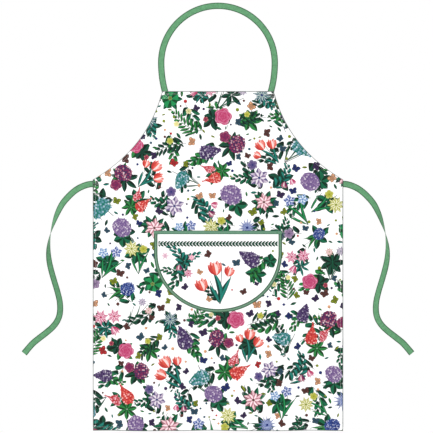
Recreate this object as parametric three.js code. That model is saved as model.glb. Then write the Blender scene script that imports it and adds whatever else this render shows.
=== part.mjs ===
// A bib apron with a neck strap, two waist ties and a D-shaped front pocket, hanging upright.
//
// Millimetres, +Z up. The origin is the inside top of the neck strap, where a peg holds it. The printed
// front looks along -Y, and left means -X, on the left of someone who looks at the front.
// Layers from front to back: pocket, cloth, turned hems, and the sewn ends of the tapes.

import * as THREE from 'three';

// Tape of the neck strap and the ties
const TAPE_WIDTH = 16;
const TAPE_THICK = 1;
const SEWN_LENGTH = 20;

// Neck strap: a round arch on two slightly inward legs
const ARCH_RADIUS = 142;
const LEG_DROP = 200;
const STRAP_STEPS = 44;

// Body cloth, as heights below the origin
const BIB_TOP = -206;
const WAIST = -427;
const HEM_BOTTOM = -1054;
const BIB_HALF = 139.5;
const SKIRT_HALF = 312.5;
const ARMHOLE_PULL = { x: 174.5, z: -346 };
const ARMHOLE_STEPS = 22;

// Thickness of the layers, the gap between touching ones, and where each layer's middle lies
const CLOTH_THICK = 0.6;
const HEM_THICK = 0.4;
const THREAD_THICK = 0.4;
const GAP = 0.3;
const CLOTH_Y = -1;
const HEM_Y = CLOTH_Y + CLOTH_THICK / 2 + GAP + HEM_THICK / 2;
const SEWN_Y = HEM_Y + HEM_THICK / 2 + GAP + TAPE_THICK / 2;
const SEWN_THREAD_Y = SEWN_Y + TAPE_THICK / 2 + GAP + THREAD_THICK / 2;

// Hems
const SIDE_HEM = 8;
const BOTTOM_HEM = 10;

// Room that the folds and the swinging ties need
const STRAP_ROOM = 3;
const FOLD_ROOM = 0.5;
const HEM_FOLD_ROOM = 1.6;

// Pocket
const POCKET_TOP = -555;
const POCKET_HALF = 160;
const POCKET_STRAIGHT = 55;
const POCKET_ROUND = 149;
const POCKET_BINDING = 9;
const MOUTH_BINDING = 8;
const POCKET_DEPTH = 5.6;
const POCKET_STEPS = 40;
const POCKET_BACK_Y = CLOTH_Y - CLOTH_THICK / 2 - GAP;
const POCKET_Y = POCKET_BACK_Y + GAP - POCKET_DEPTH - CLOTH_THICK / 2;
const BINDING_LIP = 0.4;

// Middle line of the right tie, [x, z], from the side edge to the cut end
const TIE_ROUTE = [
  [319, -437.8], [335, -442], [353, -451], [371, -466], [389, -487], [402, -512], [411, -536],
  [418, -559], [422.5, -583], [424, -606], [422, -630], [416.5, -655], [409, -681], [401, -708],
  [395.5, -733], [395, -757], [400, -776], [411.5, -793], [428, -808], [446, -822], [464, -837],
  [484.6, -861],
];
const TIE_STEPS = 56;
const TIE_STRANDS = 4;
const TIE_TURNS = [{ from: 0.1, to: 0.52, share: 0.8 }, { from: 0.6, to: 0.97, share: 0.2 }];
const TIE_SEWN_Z = -438;

// Small stitched squares and bar tacks
const STITCH_BOX = 12;
const STITCH_LINE = 1.2;
const TACK_LENGTH = 9;
const TACK_WIDTH = 2;

const finish = (color, roughness) => new THREE.MeshStandardMaterial({ color, roughness, metalness: 0 });
const CLOTH_WHITE = 0xf6f6f2;
const TAPE_GREEN = 0x60a578;
const BINDING_GREEN = 0x5f8f70;
const THREAD_GREEN = 0x4a8a62;

const apron = new THREE.Group();

/** Adds one named piece with a material of its own. */
function piece(name, geometry, color, roughness = 0.85) {
  const mesh = new THREE.Mesh(geometry, finish(color, roughness));
  mesh.name = name;
  apron.add(mesh);
  return mesh;
}

/** A flat sheet: an outline in x and z, thickened along Y about the plane y. */
function sheet(outline, thick, y) {
  const geometry = new THREE.ExtrudeGeometry(outline, { depth: thick, bevelEnabled: false, steps: 1 });
  return geometry.rotateX(Math.PI / 2).translate(0, y + thick / 2, 0);
}

/** The outline of a closed run of [x, z] points. */
function outlineOf(points) {
  return new THREE.Shape(points.map(([x, z]) => new THREE.Vector2(x, z)));
}

/** A rectangle between two heights. */
function block(left, right, low, high, thick, y) {
  return sheet(outlineOf([[left, low], [right, low], [right, high], [left, high]]), thick, y);
}

/** A band of even width beside a line, on the side of the turn from its direction, 1 left or -1 right. */
function band(line, width, side, steps, from = 0, to = 1) {
  const outer = [];
  const inner = [];
  for (let i = 0; i <= steps; i++) {
    const t = from + ((to - from) * i) / steps;
    const at = line.getPointAt(t);
    const along = line.getTangentAt(t);
    outer.push([at.x, at.y]);
    inner.unshift([at.x - side * width * along.y, at.y + side * width * along.x]);
  }
  return outlineOf([...outer, ...inner]);
}

/** A flat tape whose broad face looks along Y: a box bent along a line, with a turn at each place. */
function tape(line, steps, strands = 1, turnAt = () => 0) {
  const geometry = new THREE.BoxGeometry(TAPE_WIDTH, TAPE_THICK, 1, strands, 1, steps);
  const place = geometry.attributes.position;
  for (let i = 0; i < place.count; i++) {
    const t = place.getZ(i) + 0.5;
    const turn = turnAt(t);
    const across = place.getX(i) * Math.cos(turn) - place.getY(i) * Math.sin(turn);
    const deep = place.getX(i) * Math.sin(turn) + place.getY(i) * Math.cos(turn);
    const at = line.getPointAt(t);
    const along = line.getTangentAt(t);
    place.setXYZ(i, at.x + across * along.y, deep, at.y - across * along.x);
  }
  geometry.computeVertexNormals();
  return geometry;
}

/** The same outline or route on the other side of the middle. */
const mirrored = (points) => points.map(([x, z]) => [-x, z]);

/** The neck strap's middle line, from the right leg over the top to the left leg. */
function strapLine() {
  const centre = TAPE_WIDTH / 2 - ARCH_RADIUS;
  const foot = Math.asin((centre - BIB_TOP - STRAP_ROOM) / LEG_DROP);
  const line = new THREE.Path();
  line.absellipse(0, centre, ARCH_RADIUS, LEG_DROP, -foot, 0);
  line.absellipse(0, centre, ARCH_RADIUS, ARCH_RADIUS, 0, Math.PI);
  line.absellipse(0, centre, ARCH_RADIUS, LEG_DROP, Math.PI, Math.PI + foot);
  return line;
}

/** An armhole's edge on one side, from the bib's corner down to the waist corner. */
function armholeLine(side) {
  return new THREE.QuadraticBezierCurve(
    new THREE.Vector2(side * BIB_HALF, BIB_TOP),
    new THREE.Vector2(side * ARMHOLE_PULL.x, ARMHOLE_PULL.z),
    new THREE.Vector2(side * SKIRT_HALF, WAIST),
  );
}

/** The pocket's D, without its mouth, from the right corner down and round to the left one. */
function pocketEdge(inset) {
  const low = POCKET_TOP - POCKET_STRAIGHT;
  const half = POCKET_HALF - inset;
  const line = new THREE.Path();
  line.moveTo(half, POCKET_TOP);
  line.lineTo(half, low);
  line.absellipse(0, low, half, POCKET_ROUND - inset, 0, Math.PI, true);
  line.lineTo(-half, POCKET_TOP);
  return line;
}

/** The four-holed square of a boxed cross in thread. */
function boxedCross() {
  const half = STITCH_BOX / 2;
  const square = outlineOf([[-half, -half], [half, -half], [half, half], [-half, half]]);
  const edge = half - STITCH_LINE;
  const reach = edge - STITCH_LINE * Math.SQRT1_2;
  const spot = STITCH_LINE * Math.SQRT1_2;
  for (let quarter = 0; quarter < 4; quarter++) {
    const turn = (quarter * Math.PI) / 2;
    const hole = [[edge, -reach], [spot, 0], [edge, reach]].map(([x, z]) => new THREE.Vector2(x, z));
    hole.forEach((corner) => corner.rotateAround(new THREE.Vector2(), turn));
    square.holes.push(new THREE.Path(hole));
  }
  return square;
}

/** A tape end sewn behind the cloth, and the thread that holds it, at one place and tilt. */
function sewnEnd(side, kind, x, z, tilt) {
  const tail = new THREE.BoxGeometry(TAPE_WIDTH, TAPE_THICK, SEWN_LENGTH);
  const end = piece(`${side}_${kind}_end`, tail, TAPE_GREEN);
  const thread = piece(`${side}_${kind}_stitching`, sheet(boxedCross(), THREAD_THICK, 0), THREAD_GREEN);
  end.position.set(x, SEWN_Y, z);
  thread.position.set(x, SEWN_THREAD_Y, z);
  end.rotation.y = tilt;
  thread.rotation.y = tilt;
}

function addNeckStrap() {
  const line = strapLine();
  piece('neck_strap', tape(line, STRAP_STEPS), TAPE_GREEN);
  const foot = line.getPointAt(0);
  const rise = line.getTangentAt(0);
  const tilt = Math.atan2(rise.x, rise.y);
  const down = STRAP_ROOM + SEWN_LENGTH / 2 + (TAPE_WIDTH / 2) * Math.sin(tilt) + GAP;
  for (const [side, sign] of [['left', -1], ['right', 1]]) {
    sewnEnd(side, 'strap', sign * (foot.x - down * rise.x), foot.y - down * rise.y, sign * tilt);
  }
}

function addBib() {
  const right = armholeLine(1).getPoints(ARMHOLE_STEPS);
  const foot = WAIST + FOLD_ROOM;
  const edge = right.filter((point) => point.y > foot).map((point) => [point.x, point.y]);
  edge.push([SKIRT_HALF, foot]);
  const panel = outlineOf([...mirrored(edge), ...edge.reverse()]);
  piece('bib_panel', sheet(panel, CLOTH_THICK, CLOTH_Y), CLOTH_WHITE);
  const top = block(-BIB_HALF, BIB_HALF, BIB_TOP - SIDE_HEM, BIB_TOP, HEM_THICK, HEM_Y);
  piece('bib_top_hem', top, CLOTH_WHITE);
  for (const [side, sign] of [['left', -1], ['right', 1]]) {
    const hem = band(armholeLine(sign), SIDE_HEM, -sign, ARMHOLE_STEPS, 0.035, 0.94);
    piece(`${side}_armhole_hem`, sheet(hem, HEM_THICK, HEM_Y), CLOTH_WHITE);
  }
}

function addSkirt() {
  const panel = block(-SKIRT_HALF, SKIRT_HALF, HEM_BOTTOM, WAIST - FOLD_ROOM, CLOTH_THICK, CLOTH_Y);
  piece('skirt_panel', panel, CLOTH_WHITE);
  const bottom = block(-SKIRT_HALF, SKIRT_HALF, HEM_BOTTOM, HEM_BOTTOM + BOTTOM_HEM, HEM_THICK, HEM_Y);
  piece('bottom_hem', bottom, CLOTH_WHITE);
  const low = HEM_BOTTOM + BOTTOM_HEM + GAP;
  const high = WAIST - HEM_FOLD_ROOM;
  const inner = SKIRT_HALF - SIDE_HEM;
  piece('left_side_hem', block(-SKIRT_HALF, -inner, low, high, HEM_THICK, HEM_Y), CLOTH_WHITE);
  piece('right_side_hem', block(inner, SKIRT_HALF, low, high, HEM_THICK, HEM_Y), CLOTH_WHITE);
}

function addPocket() {
  const wall = POCKET_BACK_Y - (POCKET_Y - CLOTH_THICK / 2 - BINDING_LIP);
  const curve = band(pocketEdge(0), POCKET_BINDING, -1, POCKET_STEPS);
  piece('pocket_curve_binding', sheet(curve, wall, POCKET_BACK_Y - wall / 2), BINDING_GREEN);

  const panelEdge = pocketEdge(POCKET_BINDING + GAP).getSpacedPoints(POCKET_STEPS);
  const panelTop = POCKET_TOP - MOUTH_BINDING - GAP;
  const panelHalf = POCKET_HALF - POCKET_BINDING - GAP;
  const below = panelEdge.filter((point) => point.y < panelTop - 1).map((point) => [point.x, point.y]);
  const panel = outlineOf([[panelHalf, panelTop], ...below, [-panelHalf, panelTop]]);
  piece('pocket_panel', sheet(panel, CLOTH_THICK, POCKET_Y), CLOTH_WHITE);

  const mouthThick = CLOTH_THICK + 2 * BINDING_LIP;
  const mouth = block(-panelHalf, panelHalf, POCKET_TOP - MOUTH_BINDING, POCKET_TOP, mouthThick, POCKET_Y);
  piece('pocket_mouth_binding', mouth, BINDING_GREEN);

  const tackY = POCKET_Y - CLOTH_THICK / 2 - BINDING_LIP - GAP - THREAD_THICK / 2;
  const tackX = POCKET_HALF - POCKET_BINDING;
  for (const [side, sign] of [['left', -1], ['right', 1]]) {
    const bar = new THREE.BoxGeometry(TACK_LENGTH, THREAD_THICK, TACK_WIDTH);
    const tack = piece(`${side}_pocket_tack`, bar, THREAD_GREEN);
    tack.position.set(sign * tackX, tackY, POCKET_TOP - MOUTH_BINDING / 2);
  }
}

/** The half turn in a tie: most of it high up, and the rest toward the end. */
function tieTurn(t) {
  const shares = TIE_TURNS.map(({ from, to, share }) => share * THREE.MathUtils.smoothstep(t, from, to));
  return Math.PI * shares.reduce((sum, share) => sum + share);
}

function addTies() {
  for (const [side, sign] of [['left', -1], ['right', 1]]) {
    const route = sign > 0 ? TIE_ROUTE : mirrored(TIE_ROUTE);
    const line = new THREE.SplineCurve(route.map(([x, z]) => new THREE.Vector2(x, z)));
    const geometry = tape(line, TIE_STEPS, TIE_STRANDS, (t) => sign * tieTurn(t));
    piece(`${side}_tie`, geometry, TAPE_GREEN);
    sewnEnd(side, 'tie', sign * (SKIRT_HALF - GAP - SEWN_LENGTH / 2), TIE_SEWN_Z, Math.PI / 2);
  }
}

addNeckStrap();
addBib();
addSkirt();
addPocket();
addTies();

export default apron;
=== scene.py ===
"""A cotton bib apron with an all-over botanical print, held up by its green neck strap."""

import logging
import math
import random
from dataclasses import dataclass
from enum import Enum, IntEnum
from functools import partial, partialmethod
from typing import Callable, Iterable, Sequence

import bmesh
import bpy
import numpy as np
from mathutils import Matrix, Vector


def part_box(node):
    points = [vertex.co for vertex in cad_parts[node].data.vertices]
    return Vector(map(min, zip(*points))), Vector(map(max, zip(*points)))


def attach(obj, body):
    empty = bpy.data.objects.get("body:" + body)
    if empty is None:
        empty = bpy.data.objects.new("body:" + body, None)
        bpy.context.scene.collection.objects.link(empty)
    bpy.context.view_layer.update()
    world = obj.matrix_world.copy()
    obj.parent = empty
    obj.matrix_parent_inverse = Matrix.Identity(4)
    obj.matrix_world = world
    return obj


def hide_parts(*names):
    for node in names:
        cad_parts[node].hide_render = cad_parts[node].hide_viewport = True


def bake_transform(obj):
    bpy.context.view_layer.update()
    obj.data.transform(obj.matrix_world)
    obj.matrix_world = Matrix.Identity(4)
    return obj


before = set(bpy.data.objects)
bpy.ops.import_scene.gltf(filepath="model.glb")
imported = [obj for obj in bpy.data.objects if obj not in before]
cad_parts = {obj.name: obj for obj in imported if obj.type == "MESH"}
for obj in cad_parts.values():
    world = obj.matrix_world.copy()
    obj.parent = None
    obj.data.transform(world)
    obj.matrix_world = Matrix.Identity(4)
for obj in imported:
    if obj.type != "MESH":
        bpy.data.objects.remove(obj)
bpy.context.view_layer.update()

LOG = logging.getLogger("apron")
MM = 0.001

Array, Piece, Material = np.ndarray, bpy.types.Object, bpy.types.Material
Colour = tuple[float, float, float]
Place = Callable[[Array, Array], Array]
Level = Callable[[Array], Array]


# ---- sizes


@dataclass(frozen=True)
class Cut:
    """The flat cut of the apron, in metres, read off the frame where a piece gives it."""

    tape_width: float = 16 * MM
    tape_thick: float = 0.9 * MM
    tape_edge: float = 0.25 * MM
    sewn_length: float = 20 * MM
    arch_radius: float = 142 * MM
    leg_drop: float = 200 * MM
    hem: float = 8 * MM
    bottom_hem: float = 10 * MM
    cloth_thick: float = 0.6 * MM
    pocket_straight: float = 55 * MM
    pocket_binding: float = 9 * MM
    mouth_binding: float = 8 * MM
    armhole_pull: tuple[float, float] = (174.5 * MM, -346 * MM)
    bib_half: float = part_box("bib_top_hem")[1].x
    bib_top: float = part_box("bib_top_hem")[1].z
    skirt_half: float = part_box("skirt_panel")[1].x
    waist: float = -427 * MM
    hem_bottom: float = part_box("skirt_panel")[0].z
    front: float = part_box("skirt_panel")[0].y
    sewn_y: float = (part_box("left_tie_end")[0].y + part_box("left_tie_end")[1].y) / 2
    pocket_half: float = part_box("pocket_curve_binding")[1].x
    pocket_top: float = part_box("pocket_curve_binding")[1].z
    pocket_low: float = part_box("pocket_curve_binding")[0].z

    def half_width(self, z: Array) -> Array:
        """Half the cloth's width at each height.

        Args:
            z: Heights, in metres.

        Returns:
            The distance from the middle to the cloth's edge at each height.
        """
        pull_x, pull_z = self.armhole_pull
        a = self.bib_top - 2 * pull_z + self.waist
        b = 2 * (pull_z - self.bib_top)
        c = self.bib_top - np.clip(z, self.waist, self.bib_top)
        t = 2 * c / (-b + np.sqrt(b * b - 4 * a * c))
        curve = (1 - t) ** 2 * self.bib_half + 2 * t * (1 - t) * pull_x + t * t * self.skirt_half
        return np.where(z < self.waist, self.skirt_half, curve)

    def pocket_depth(self, x: Array, inset: float = 0.0) -> Array:
        """Height of the pocket below its mouth at each place across it.

        Args:
            x: Places across the pocket, in metres.
            inset: How far inside the pocket's edge the outline runs.

        Returns:
            The depth of the D at each place.
        """
        half = self.pocket_half - inset
        low = self.pocket_top - self.pocket_low - self.pocket_straight - inset
        return self.pocket_straight + low * np.sqrt(np.clip(1 - (x / half) ** 2, 0, 1))


CUT = Cut()

# Middle line of the right tie, from the side edge to the cut end, in metres
TIE_ROUTE = [
    (0.319, -0.4378), (0.335, -0.442), (0.353, -0.451), (0.371, -0.466), (0.389, -0.487),
    (0.402, -0.512), (0.411, -0.536), (0.418, -0.559), (0.4225, -0.583), (0.424, -0.606),
    (0.422, -0.630), (0.4165, -0.655), (0.409, -0.681), (0.401, -0.708), (0.3955, -0.733),
    (0.395, -0.757), (0.400, -0.776), (0.4115, -0.793), (0.428, -0.808), (0.446, -0.822),
    (0.464, -0.837), (0.4846, -0.861),
]


@dataclass(frozen=True)
class Drape:
    """How far the hanging cloth swings out of its flat plane."""

    broad: float = 4.2 * MM
    fine: float = 1.6 * MM
    lift: float = 60 * MM

    def offset(self, x: Array, z: Array) -> Array:
        """Distance along Y from the flat plane to the hanging cloth.

        Args:
            x: Places across the apron, in metres.
            z: Heights, in metres.

        Returns:
            The offsets, in metres, growing from nothing at the bib's top to the hem.
        """
        fall = np.clip((CUT.bib_top - z) / (CUT.bib_top - CUT.hem_bottom), 0, 1)
        spread = x / (CUT.bib_half + (CUT.skirt_half - CUT.bib_half) * np.clip(2.2 * fall, 0, 1))
        outside = np.clip((np.abs(x) - CUT.skirt_half) / self.lift, 0, 1)
        broad = self.broad * np.cos(2.3 * np.pi * spread + 0.7)
        fine = self.fine * np.cos(5.1 * np.pi * spread - 1.1 + 2.0 * fall)
        return fall**1.15 * (broad + fine) * (1 - outside)


DRAPE = Drape()


# ---- lines and meshes


class Route:
    """A line in the x, z plane that can be asked for a place and direction at any share of it."""

    def __init__(self, points: Sequence[Sequence[float]] | Array) -> None:
        """Stores the points and the length up to each of them.

        Args:
            points: The places that the line passes through.
        """
        self.points = np.array(points, float)
        steps = np.linalg.norm(np.diff(self.points, axis=0), axis=1)
        self.reach = np.concatenate([[0.0], np.cumsum(steps)])

    @classmethod
    def through(cls, knots: Sequence[Sequence[float]], steps: int = 12) -> "Route":
        """A smooth line through a few knots.

        Args:
            knots: The places that the line passes through.
            steps: How many pieces the stretch between two knots has.

        Returns:
            The line.
        """
        held = np.array([knots[0], *knots, knots[-1]], float)
        t = np.linspace(0, 1, steps, endpoint=False)[:, None]
        parts = []
        for a, b, c, d in zip(held, held[1:], held[2:], held[3:]):
            swing = (c - a) / 2, (d - b) / 2
            cubic = 2 * b - 2 * c + swing[0] + swing[1]
            square = -3 * b + 3 * c - 2 * swing[0] - swing[1]
            parts.append(cubic * t**3 + square * t**2 + swing[0] * t + b)
        return cls(np.vstack([*parts, held[-1:]]))

    @property
    def length(self) -> float:
        """The line's whole length."""
        return float(self.reach[-1])

    def at(self, share: Array) -> Array:
        """The places at these shares of the length, as rows of x and z."""
        want = np.asarray(share) * self.length
        return np.stack([np.interp(want, self.reach, self.points[:, k]) for k in (0, 1)], -1)

    def along(self, share: Array) -> Array:
        """The line's directions at some shares of its length.

        Args:
            share: Shares of the length, from 0 to 1.

        Returns:
            Rows of x and z, each of length 1.
        """
        step = 0.004
        ahead = self.at(np.clip(np.asarray(share) + step, 0, 1))
        behind = self.at(np.clip(np.asarray(share) - step, 0, 1))
        way = ahead - behind
        return way / np.linalg.norm(way, axis=-1, keepdims=True)

    def mirrored(self) -> "Route":
        """The same line on the other side of the middle."""
        return Route(self.points * np.array([-1.0, 1.0]))


def added(name: str, data: bpy.types.ID) -> Piece:
    """A new object at the origin, linked to the scene.

    Args:
        name: Its name.
        data: Its mesh, camera or light.

    Returns:
        The object.
    """
    made = bpy.data.objects.new(name, data)
    bpy.context.scene.collection.objects.link(made)
    return made


def vertices(mesh: bpy.types.Mesh) -> Array:
    """The places of a mesh's vertices.

    Args:
        mesh: The mesh.

    Returns:
        Their x, y and z, as three arrays.
    """
    co = np.zeros(len(mesh.vertices) * 3, np.float32)
    mesh.vertices.foreach_get("co", co)
    return co.reshape(-1, 3).astype(float).T


def columns(*values: Array) -> Array:
    """Arrays set side by side, as the columns of one array."""
    return np.stack(values, axis=1)


def grid_piece(name: str, across: int, along: int, place: Place, flat: Place | None = None) -> Piece:
    """A sheet of quads, moved from a plain grid to where the cloth or tape lies.

    Args:
        name: The piece's name.
        across: How many cells the grid has across.
        along: How many cells it has along.
        place: Gives the points for arrays of s, from -1 to 1 across, and q, from 0 to 1 along.
        flat: Gives the place of each point on the flat cloth, for the map named flat.

    Returns:
        The new object, at the origin.
    """
    bm = bmesh.new()
    bmesh.ops.create_grid(bm, x_segments=across, y_segments=along, size=1.0)
    mesh = bpy.data.meshes.new(name)
    bm.to_mesh(mesh)
    bm.free()
    s, y, _ = vertices(mesh)
    q = (1 - y) / 2
    mesh.vertices.foreach_set("co", place(s, q).astype(np.float32).ravel())
    corner = np.zeros(len(mesh.loops), np.int32)
    mesh.loops.foreach_get("vertex_index", corner)
    spots = flat(s, q) if flat else place(s, q)[:, [0, 2]]
    mesh.uv_layers.new(name="flat").data.foreach_set("uv", spots[corner].astype(np.float32).ravel())
    mesh.polygons.foreach_set("use_smooth", [True] * len(mesh.polygons))
    mesh.update()
    return added(name, mesh)


def dress(
    piece: Piece, slot: str, *materials: Material,
    thick: float = 0.0, offset: float = -1.0, edge: float = 0.0,
) -> Piece:
    """Finishes a piece with its thickness, rounded edges and materials.

    Args:
        piece: The piece.
        slot: Not used.
        materials: Its material, and its back's if that differs.
        thick: A sheet's thickness, in metres.
        offset: -1 grows the thickness behind the sheet, 0 on both sides.
        edge: How far its sharp edges are rounded.

    Returns:
        The same piece.
    """
    if thick:
        solid = piece.modifiers.new("thickness", "SOLIDIFY")
        solid.thickness = thick
        solid.offset = offset
        solid.use_even_offset = False
        solid.material_offset = len(materials) - 1
    if edge:
        bevel = piece.modifiers.new("edges", "BEVEL")
        bevel.width = edge
        bevel.segments = 2
        bevel.profile = 0.5
        bevel.limit_method = "ANGLE"
    piece.data.materials.clear()
    for material in materials:
        piece.data.materials.append(material)
    LOG.info("%s: %d faces", piece.name, len(piece.data.polygons))
    return piece


# ---- shader expressions


class Value:
    """A socket on which Python arithmetic adds the matching Math nodes."""

    def __init__(self, tree: "Tree", socket: bpy.types.NodeSocket) -> None:
        """Keeps the socket and the tree it stands in."""
        self.tree = tree
        self.socket = socket

    def math(self, operation: str, *others: "Value | float") -> "Value":
        """The Math node of that operation on this value and the others."""
        return self.tree.node("ShaderNodeMath", {"operation": operation}, [self, *others])

    # Python's operators, each as its Math node; a number may come first in a sum or product
    __add__ = __radd__ = partialmethod(math, "ADD")
    __sub__ = partialmethod(math, "SUBTRACT")
    __mul__ = __rmul__ = partialmethod(math, "MULTIPLY")
    __truediv__ = partialmethod(math, "DIVIDE")
    __pow__ = partialmethod(math, "POWER")
    __lt__ = partialmethod(math, "LESS_THAN")
    __gt__ = partialmethod(math, "GREATER_THAN")
    __abs__ = partialmethod(math, "ABSOLUTE")

    def __rsub__(self, other: float) -> "Value":
        """A number less this value."""
        return self.tree.node("ShaderNodeMath", {"operation": "SUBTRACT"}, [other, self])

    def ramp(self, low: "Value | float", high: "Value | float", smooth: bool = True) -> "Value":
        """This value's share of the way from low to high, held to 0 and 1 and eased if smooth."""
        easing = {"interpolation_type": "SMOOTHSTEP" if smooth else "LINEAR"}
        return self.tree.node("ShaderNodeMapRange", easing, [self, low, high, 0.0, 1.0])


class Tree:
    """The node tree of one material."""

    def __init__(self, name: str) -> None:
        """Makes an empty material of that name.

        Args:
            name: The material's name.
        """
        self.material = bpy.data.materials.new(name)
        self.material.use_nodes = True
        self.nodes = self.material.node_tree.nodes
        self.links = self.material.node_tree.links
        self.nodes.clear()

    def node(
        self, kind: str, settings: dict[str, object] | None = None,
        inputs: Sequence[object] | dict[str, object] = (), output: int | str = 0,
    ) -> Value:
        """Adds a node.

        Args:
            kind: The node's type.
            settings: Its own settings, which are set first.
            inputs: Values or links, in order or by socket identifier.
            output: Which output to hand back.

        Returns:
            The chosen output.
        """
        made = self.nodes.new(kind)
        for name, setting in (settings or {}).items():
            setattr(made, name, setting)
        pairs = inputs.items() if isinstance(inputs, dict) else enumerate(inputs)
        for key, value in pairs:
            socket = made.inputs[key] if isinstance(key, int) else self.find(made.inputs, key)
            if isinstance(value, Value):
                self.links.new(value.socket, socket)
            elif value is not None:
                socket.default_value = value
        socket = made.outputs[output] if isinstance(output, int) else self.find(made.outputs, output)
        return Value(self, socket)

    @staticmethod
    def find(sockets: Iterable[bpy.types.NodeSocket], key: str) -> bpy.types.NodeSocket:
        """The socket with that identifier or name."""
        return next(s for s in sockets if key in (s.identifier, s.name))

    def mix(self, first: object, second: object, share: object, blend: str = "MIX") -> Value:
        """A colour between two colours.

        Args:
            first: The colour at share 0.
            second: The colour at share 1.
            share: A number or link.
            blend: How the second colour goes on the first.

        Returns:
            The mixed colour.
        """
        settings = {"data_type": "RGBA", "blend_type": blend}
        wide = [c if isinstance(c, Value) else (*c, 1.0) for c in (first, second)]
        inputs = {"Factor_Float": share, "A_Color": wide[0], "B_Color": wide[1]}
        return self.node("ShaderNodeMix", settings, inputs, "Result_Color")

    def shade(self, colour: object, amount: Value) -> Value:
        """A colour times a number that varies over the surface."""
        grey = self.node("ShaderNodeCombineXYZ", None, [amount, amount, amount])
        return self.mix(colour, grey, 1.0, "MULTIPLY")

    def parts(self, vector: Value) -> tuple[Value, Value, Value]:
        """The three numbers of a vector.

        Args:
            vector: The vector.

        Returns:
            Its x, y and z.
        """
        first = self.node("ShaderNodeSeparateXYZ", None, [vector])
        outputs = first.socket.node.outputs
        return first, Value(self, outputs[1]), Value(self, outputs[2])

    def attribute(self, name: str) -> Value:
        """A vector or colour that the mesh carries under that name."""
        return self.node("ShaderNodeAttribute", {"attribute_name": name}, (), "Vector")

    def flat(self) -> tuple[Value, Value, Value]:
        """The map named flat, in metres.

        Returns:
            The whole vector, and its two numbers.
        """
        spot = self.node("ShaderNodeUVMap", {"uv_map": "flat"})
        u, v, _ = self.parts(spot)
        return spot, u, v

    def noise(self, spot: Value, scale: float, detail: float = 2.0) -> Value:
        """Soft cloudy noise between 0 and 1 over a place."""
        inputs = {"Vector": spot, "Scale": scale, "Detail": detail}
        return self.node("ShaderNodeTexNoise", {"noise_dimensions": "2D"}, inputs, "Fac")

    def cloth(
        self, colour: object, height: Value, depth: float, roughness: object = 0.9, sheen: float = 0.15
    ) -> Material:
        """Ends the tree in a woven cloth's shader.

        Args:
            colour: The base colour.
            height: The weave's height, from 0 to 1.
            depth: How deep the weave is, in metres.
            roughness: The surface's roughness.
            sheen: The weight of the fibres' sheen.

        Returns:
            The finished material.
        """
        bump = self.node("ShaderNodeBump", None, {"Strength": 0.6, "Distance": depth, "Height": height})
        inputs = {"Base Color": colour, "Roughness": roughness, "Normal": bump, "Sheen Weight": sheen,
                  "Sheen Roughness": 0.4, "Specular IOR Level": 0.25}
        surface = self.node("ShaderNodeBsdfPrincipled", None, inputs)
        out = self.nodes.new("ShaderNodeOutputMaterial")
        self.links.new(surface.socket, out.inputs["Surface"])
        return self.material


def linear(red: int, green: int, blue: int) -> Colour:
    """A shader colour from a dye's screen values, each from 0 to 255."""
    shares = (red / 255, green / 255, blue / 255)
    return tuple(c / 12.92 if c <= 10 / 255 else ((c + 0.055) / 1.055) ** 2.4 for c in shares)


# ---- printed elements


class Layer(Enum):
    """The screens that the print goes on with, from the lowest."""

    UNDER = "under"
    LEAF = "leaf"
    BLOOM = "bloom"
    SMALL = "small"


# Shapes on the two leaf screens, on the bloom screen and on the screen of small things
Leaf = IntEnum("Leaf", "SPRIG ROSETTE BLADES")
Bloom = IntEnum("Bloom", "ROUND POINTED CLUSTER TULIP ROSE")
Small = IntEnum("Small", "BUTTERFLY LEAFLET BUD")


class Dye:
    """The print's colours."""

    FOREST = linear(12, 84, 56)
    PINE = linear(10, 58, 42)
    MOSS = linear(34, 108, 52)
    GRASS = linear(24, 118, 66)
    TEAL = linear(22, 104, 92)
    OLIVE = linear(116, 128, 30)
    PURPLE = linear(98, 76, 124)
    PLUM = linear(52, 36, 74)
    MAUVE = linear(150, 124, 158)
    BLUE = linear(62, 96, 170)
    NAVY = linear(30, 42, 98)
    SKY = linear(116, 156, 184)
    PINK = linear(196, 104, 142)
    MAGENTA = linear(160, 20, 72)
    BLUSH = linear(218, 150, 166)
    CORAL = linear(222, 92, 72)
    RED = linear(168, 40, 44)
    YELLOW = linear(184, 180, 66)
    CREAM = linear(228, 216, 170)
    BROWN = linear(84, 48, 44)
    SLATE = linear(44, 74, 92)
    BLACK = linear(22, 18, 26)
    SAND = linear(196, 144, 108)


@dataclass(frozen=True)
class Element:
    """One printed shape: its screen, kind, place in metres, turn, size and colours."""

    layer: Layer
    kind: IntEnum
    x: float
    z: float
    turn: float
    size: float
    first: float
    second: float
    tint: Colour
    core: Colour = Dye.BLACK

    def placed(self, x: float, z: float, turn: float, flip: int, scale: float = 1.0) -> "Element":
        """The element as part of a motif that stands at a place.

        Args:
            x: The motif's place across, in metres.
            z: Its height.
            turn: Its turn, in degrees.
            flip: -1 mirrors the motif, 1 leaves it.
            scale: Its size.

        Returns:
            The element where it is printed.
        """
        c, s = math.cos(math.radians(turn)), math.sin(math.radians(turn))
        ex, ez = self.x * flip * scale, self.z * scale
        return Element(
            self.layer, self.kind, x + c * ex - s * ez, z + s * ex + c * ez, self.turn * flip + turn,
            self.size * scale, self.first, self.second * (flip if self.kind is Leaf.SPRIG else 1),
            self.tint, self.core,
        )


def on_screen(
    layer: Layer, kind: IntEnum, x: float, z: float, turn: float, size: float,
    first: float, second: float, tint: Colour, core: Colour = Dye.BLACK,
) -> Element:
    """An element whose place and size are given in millimetres."""
    return Element(layer, kind, x * MM, z * MM, turn, size * MM, first, second, tint, core)


under, leaf, bloom = (partial(on_screen, layer) for layer in (Layer.UNDER, Layer.LEAF, Layer.BLOOM))


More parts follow.
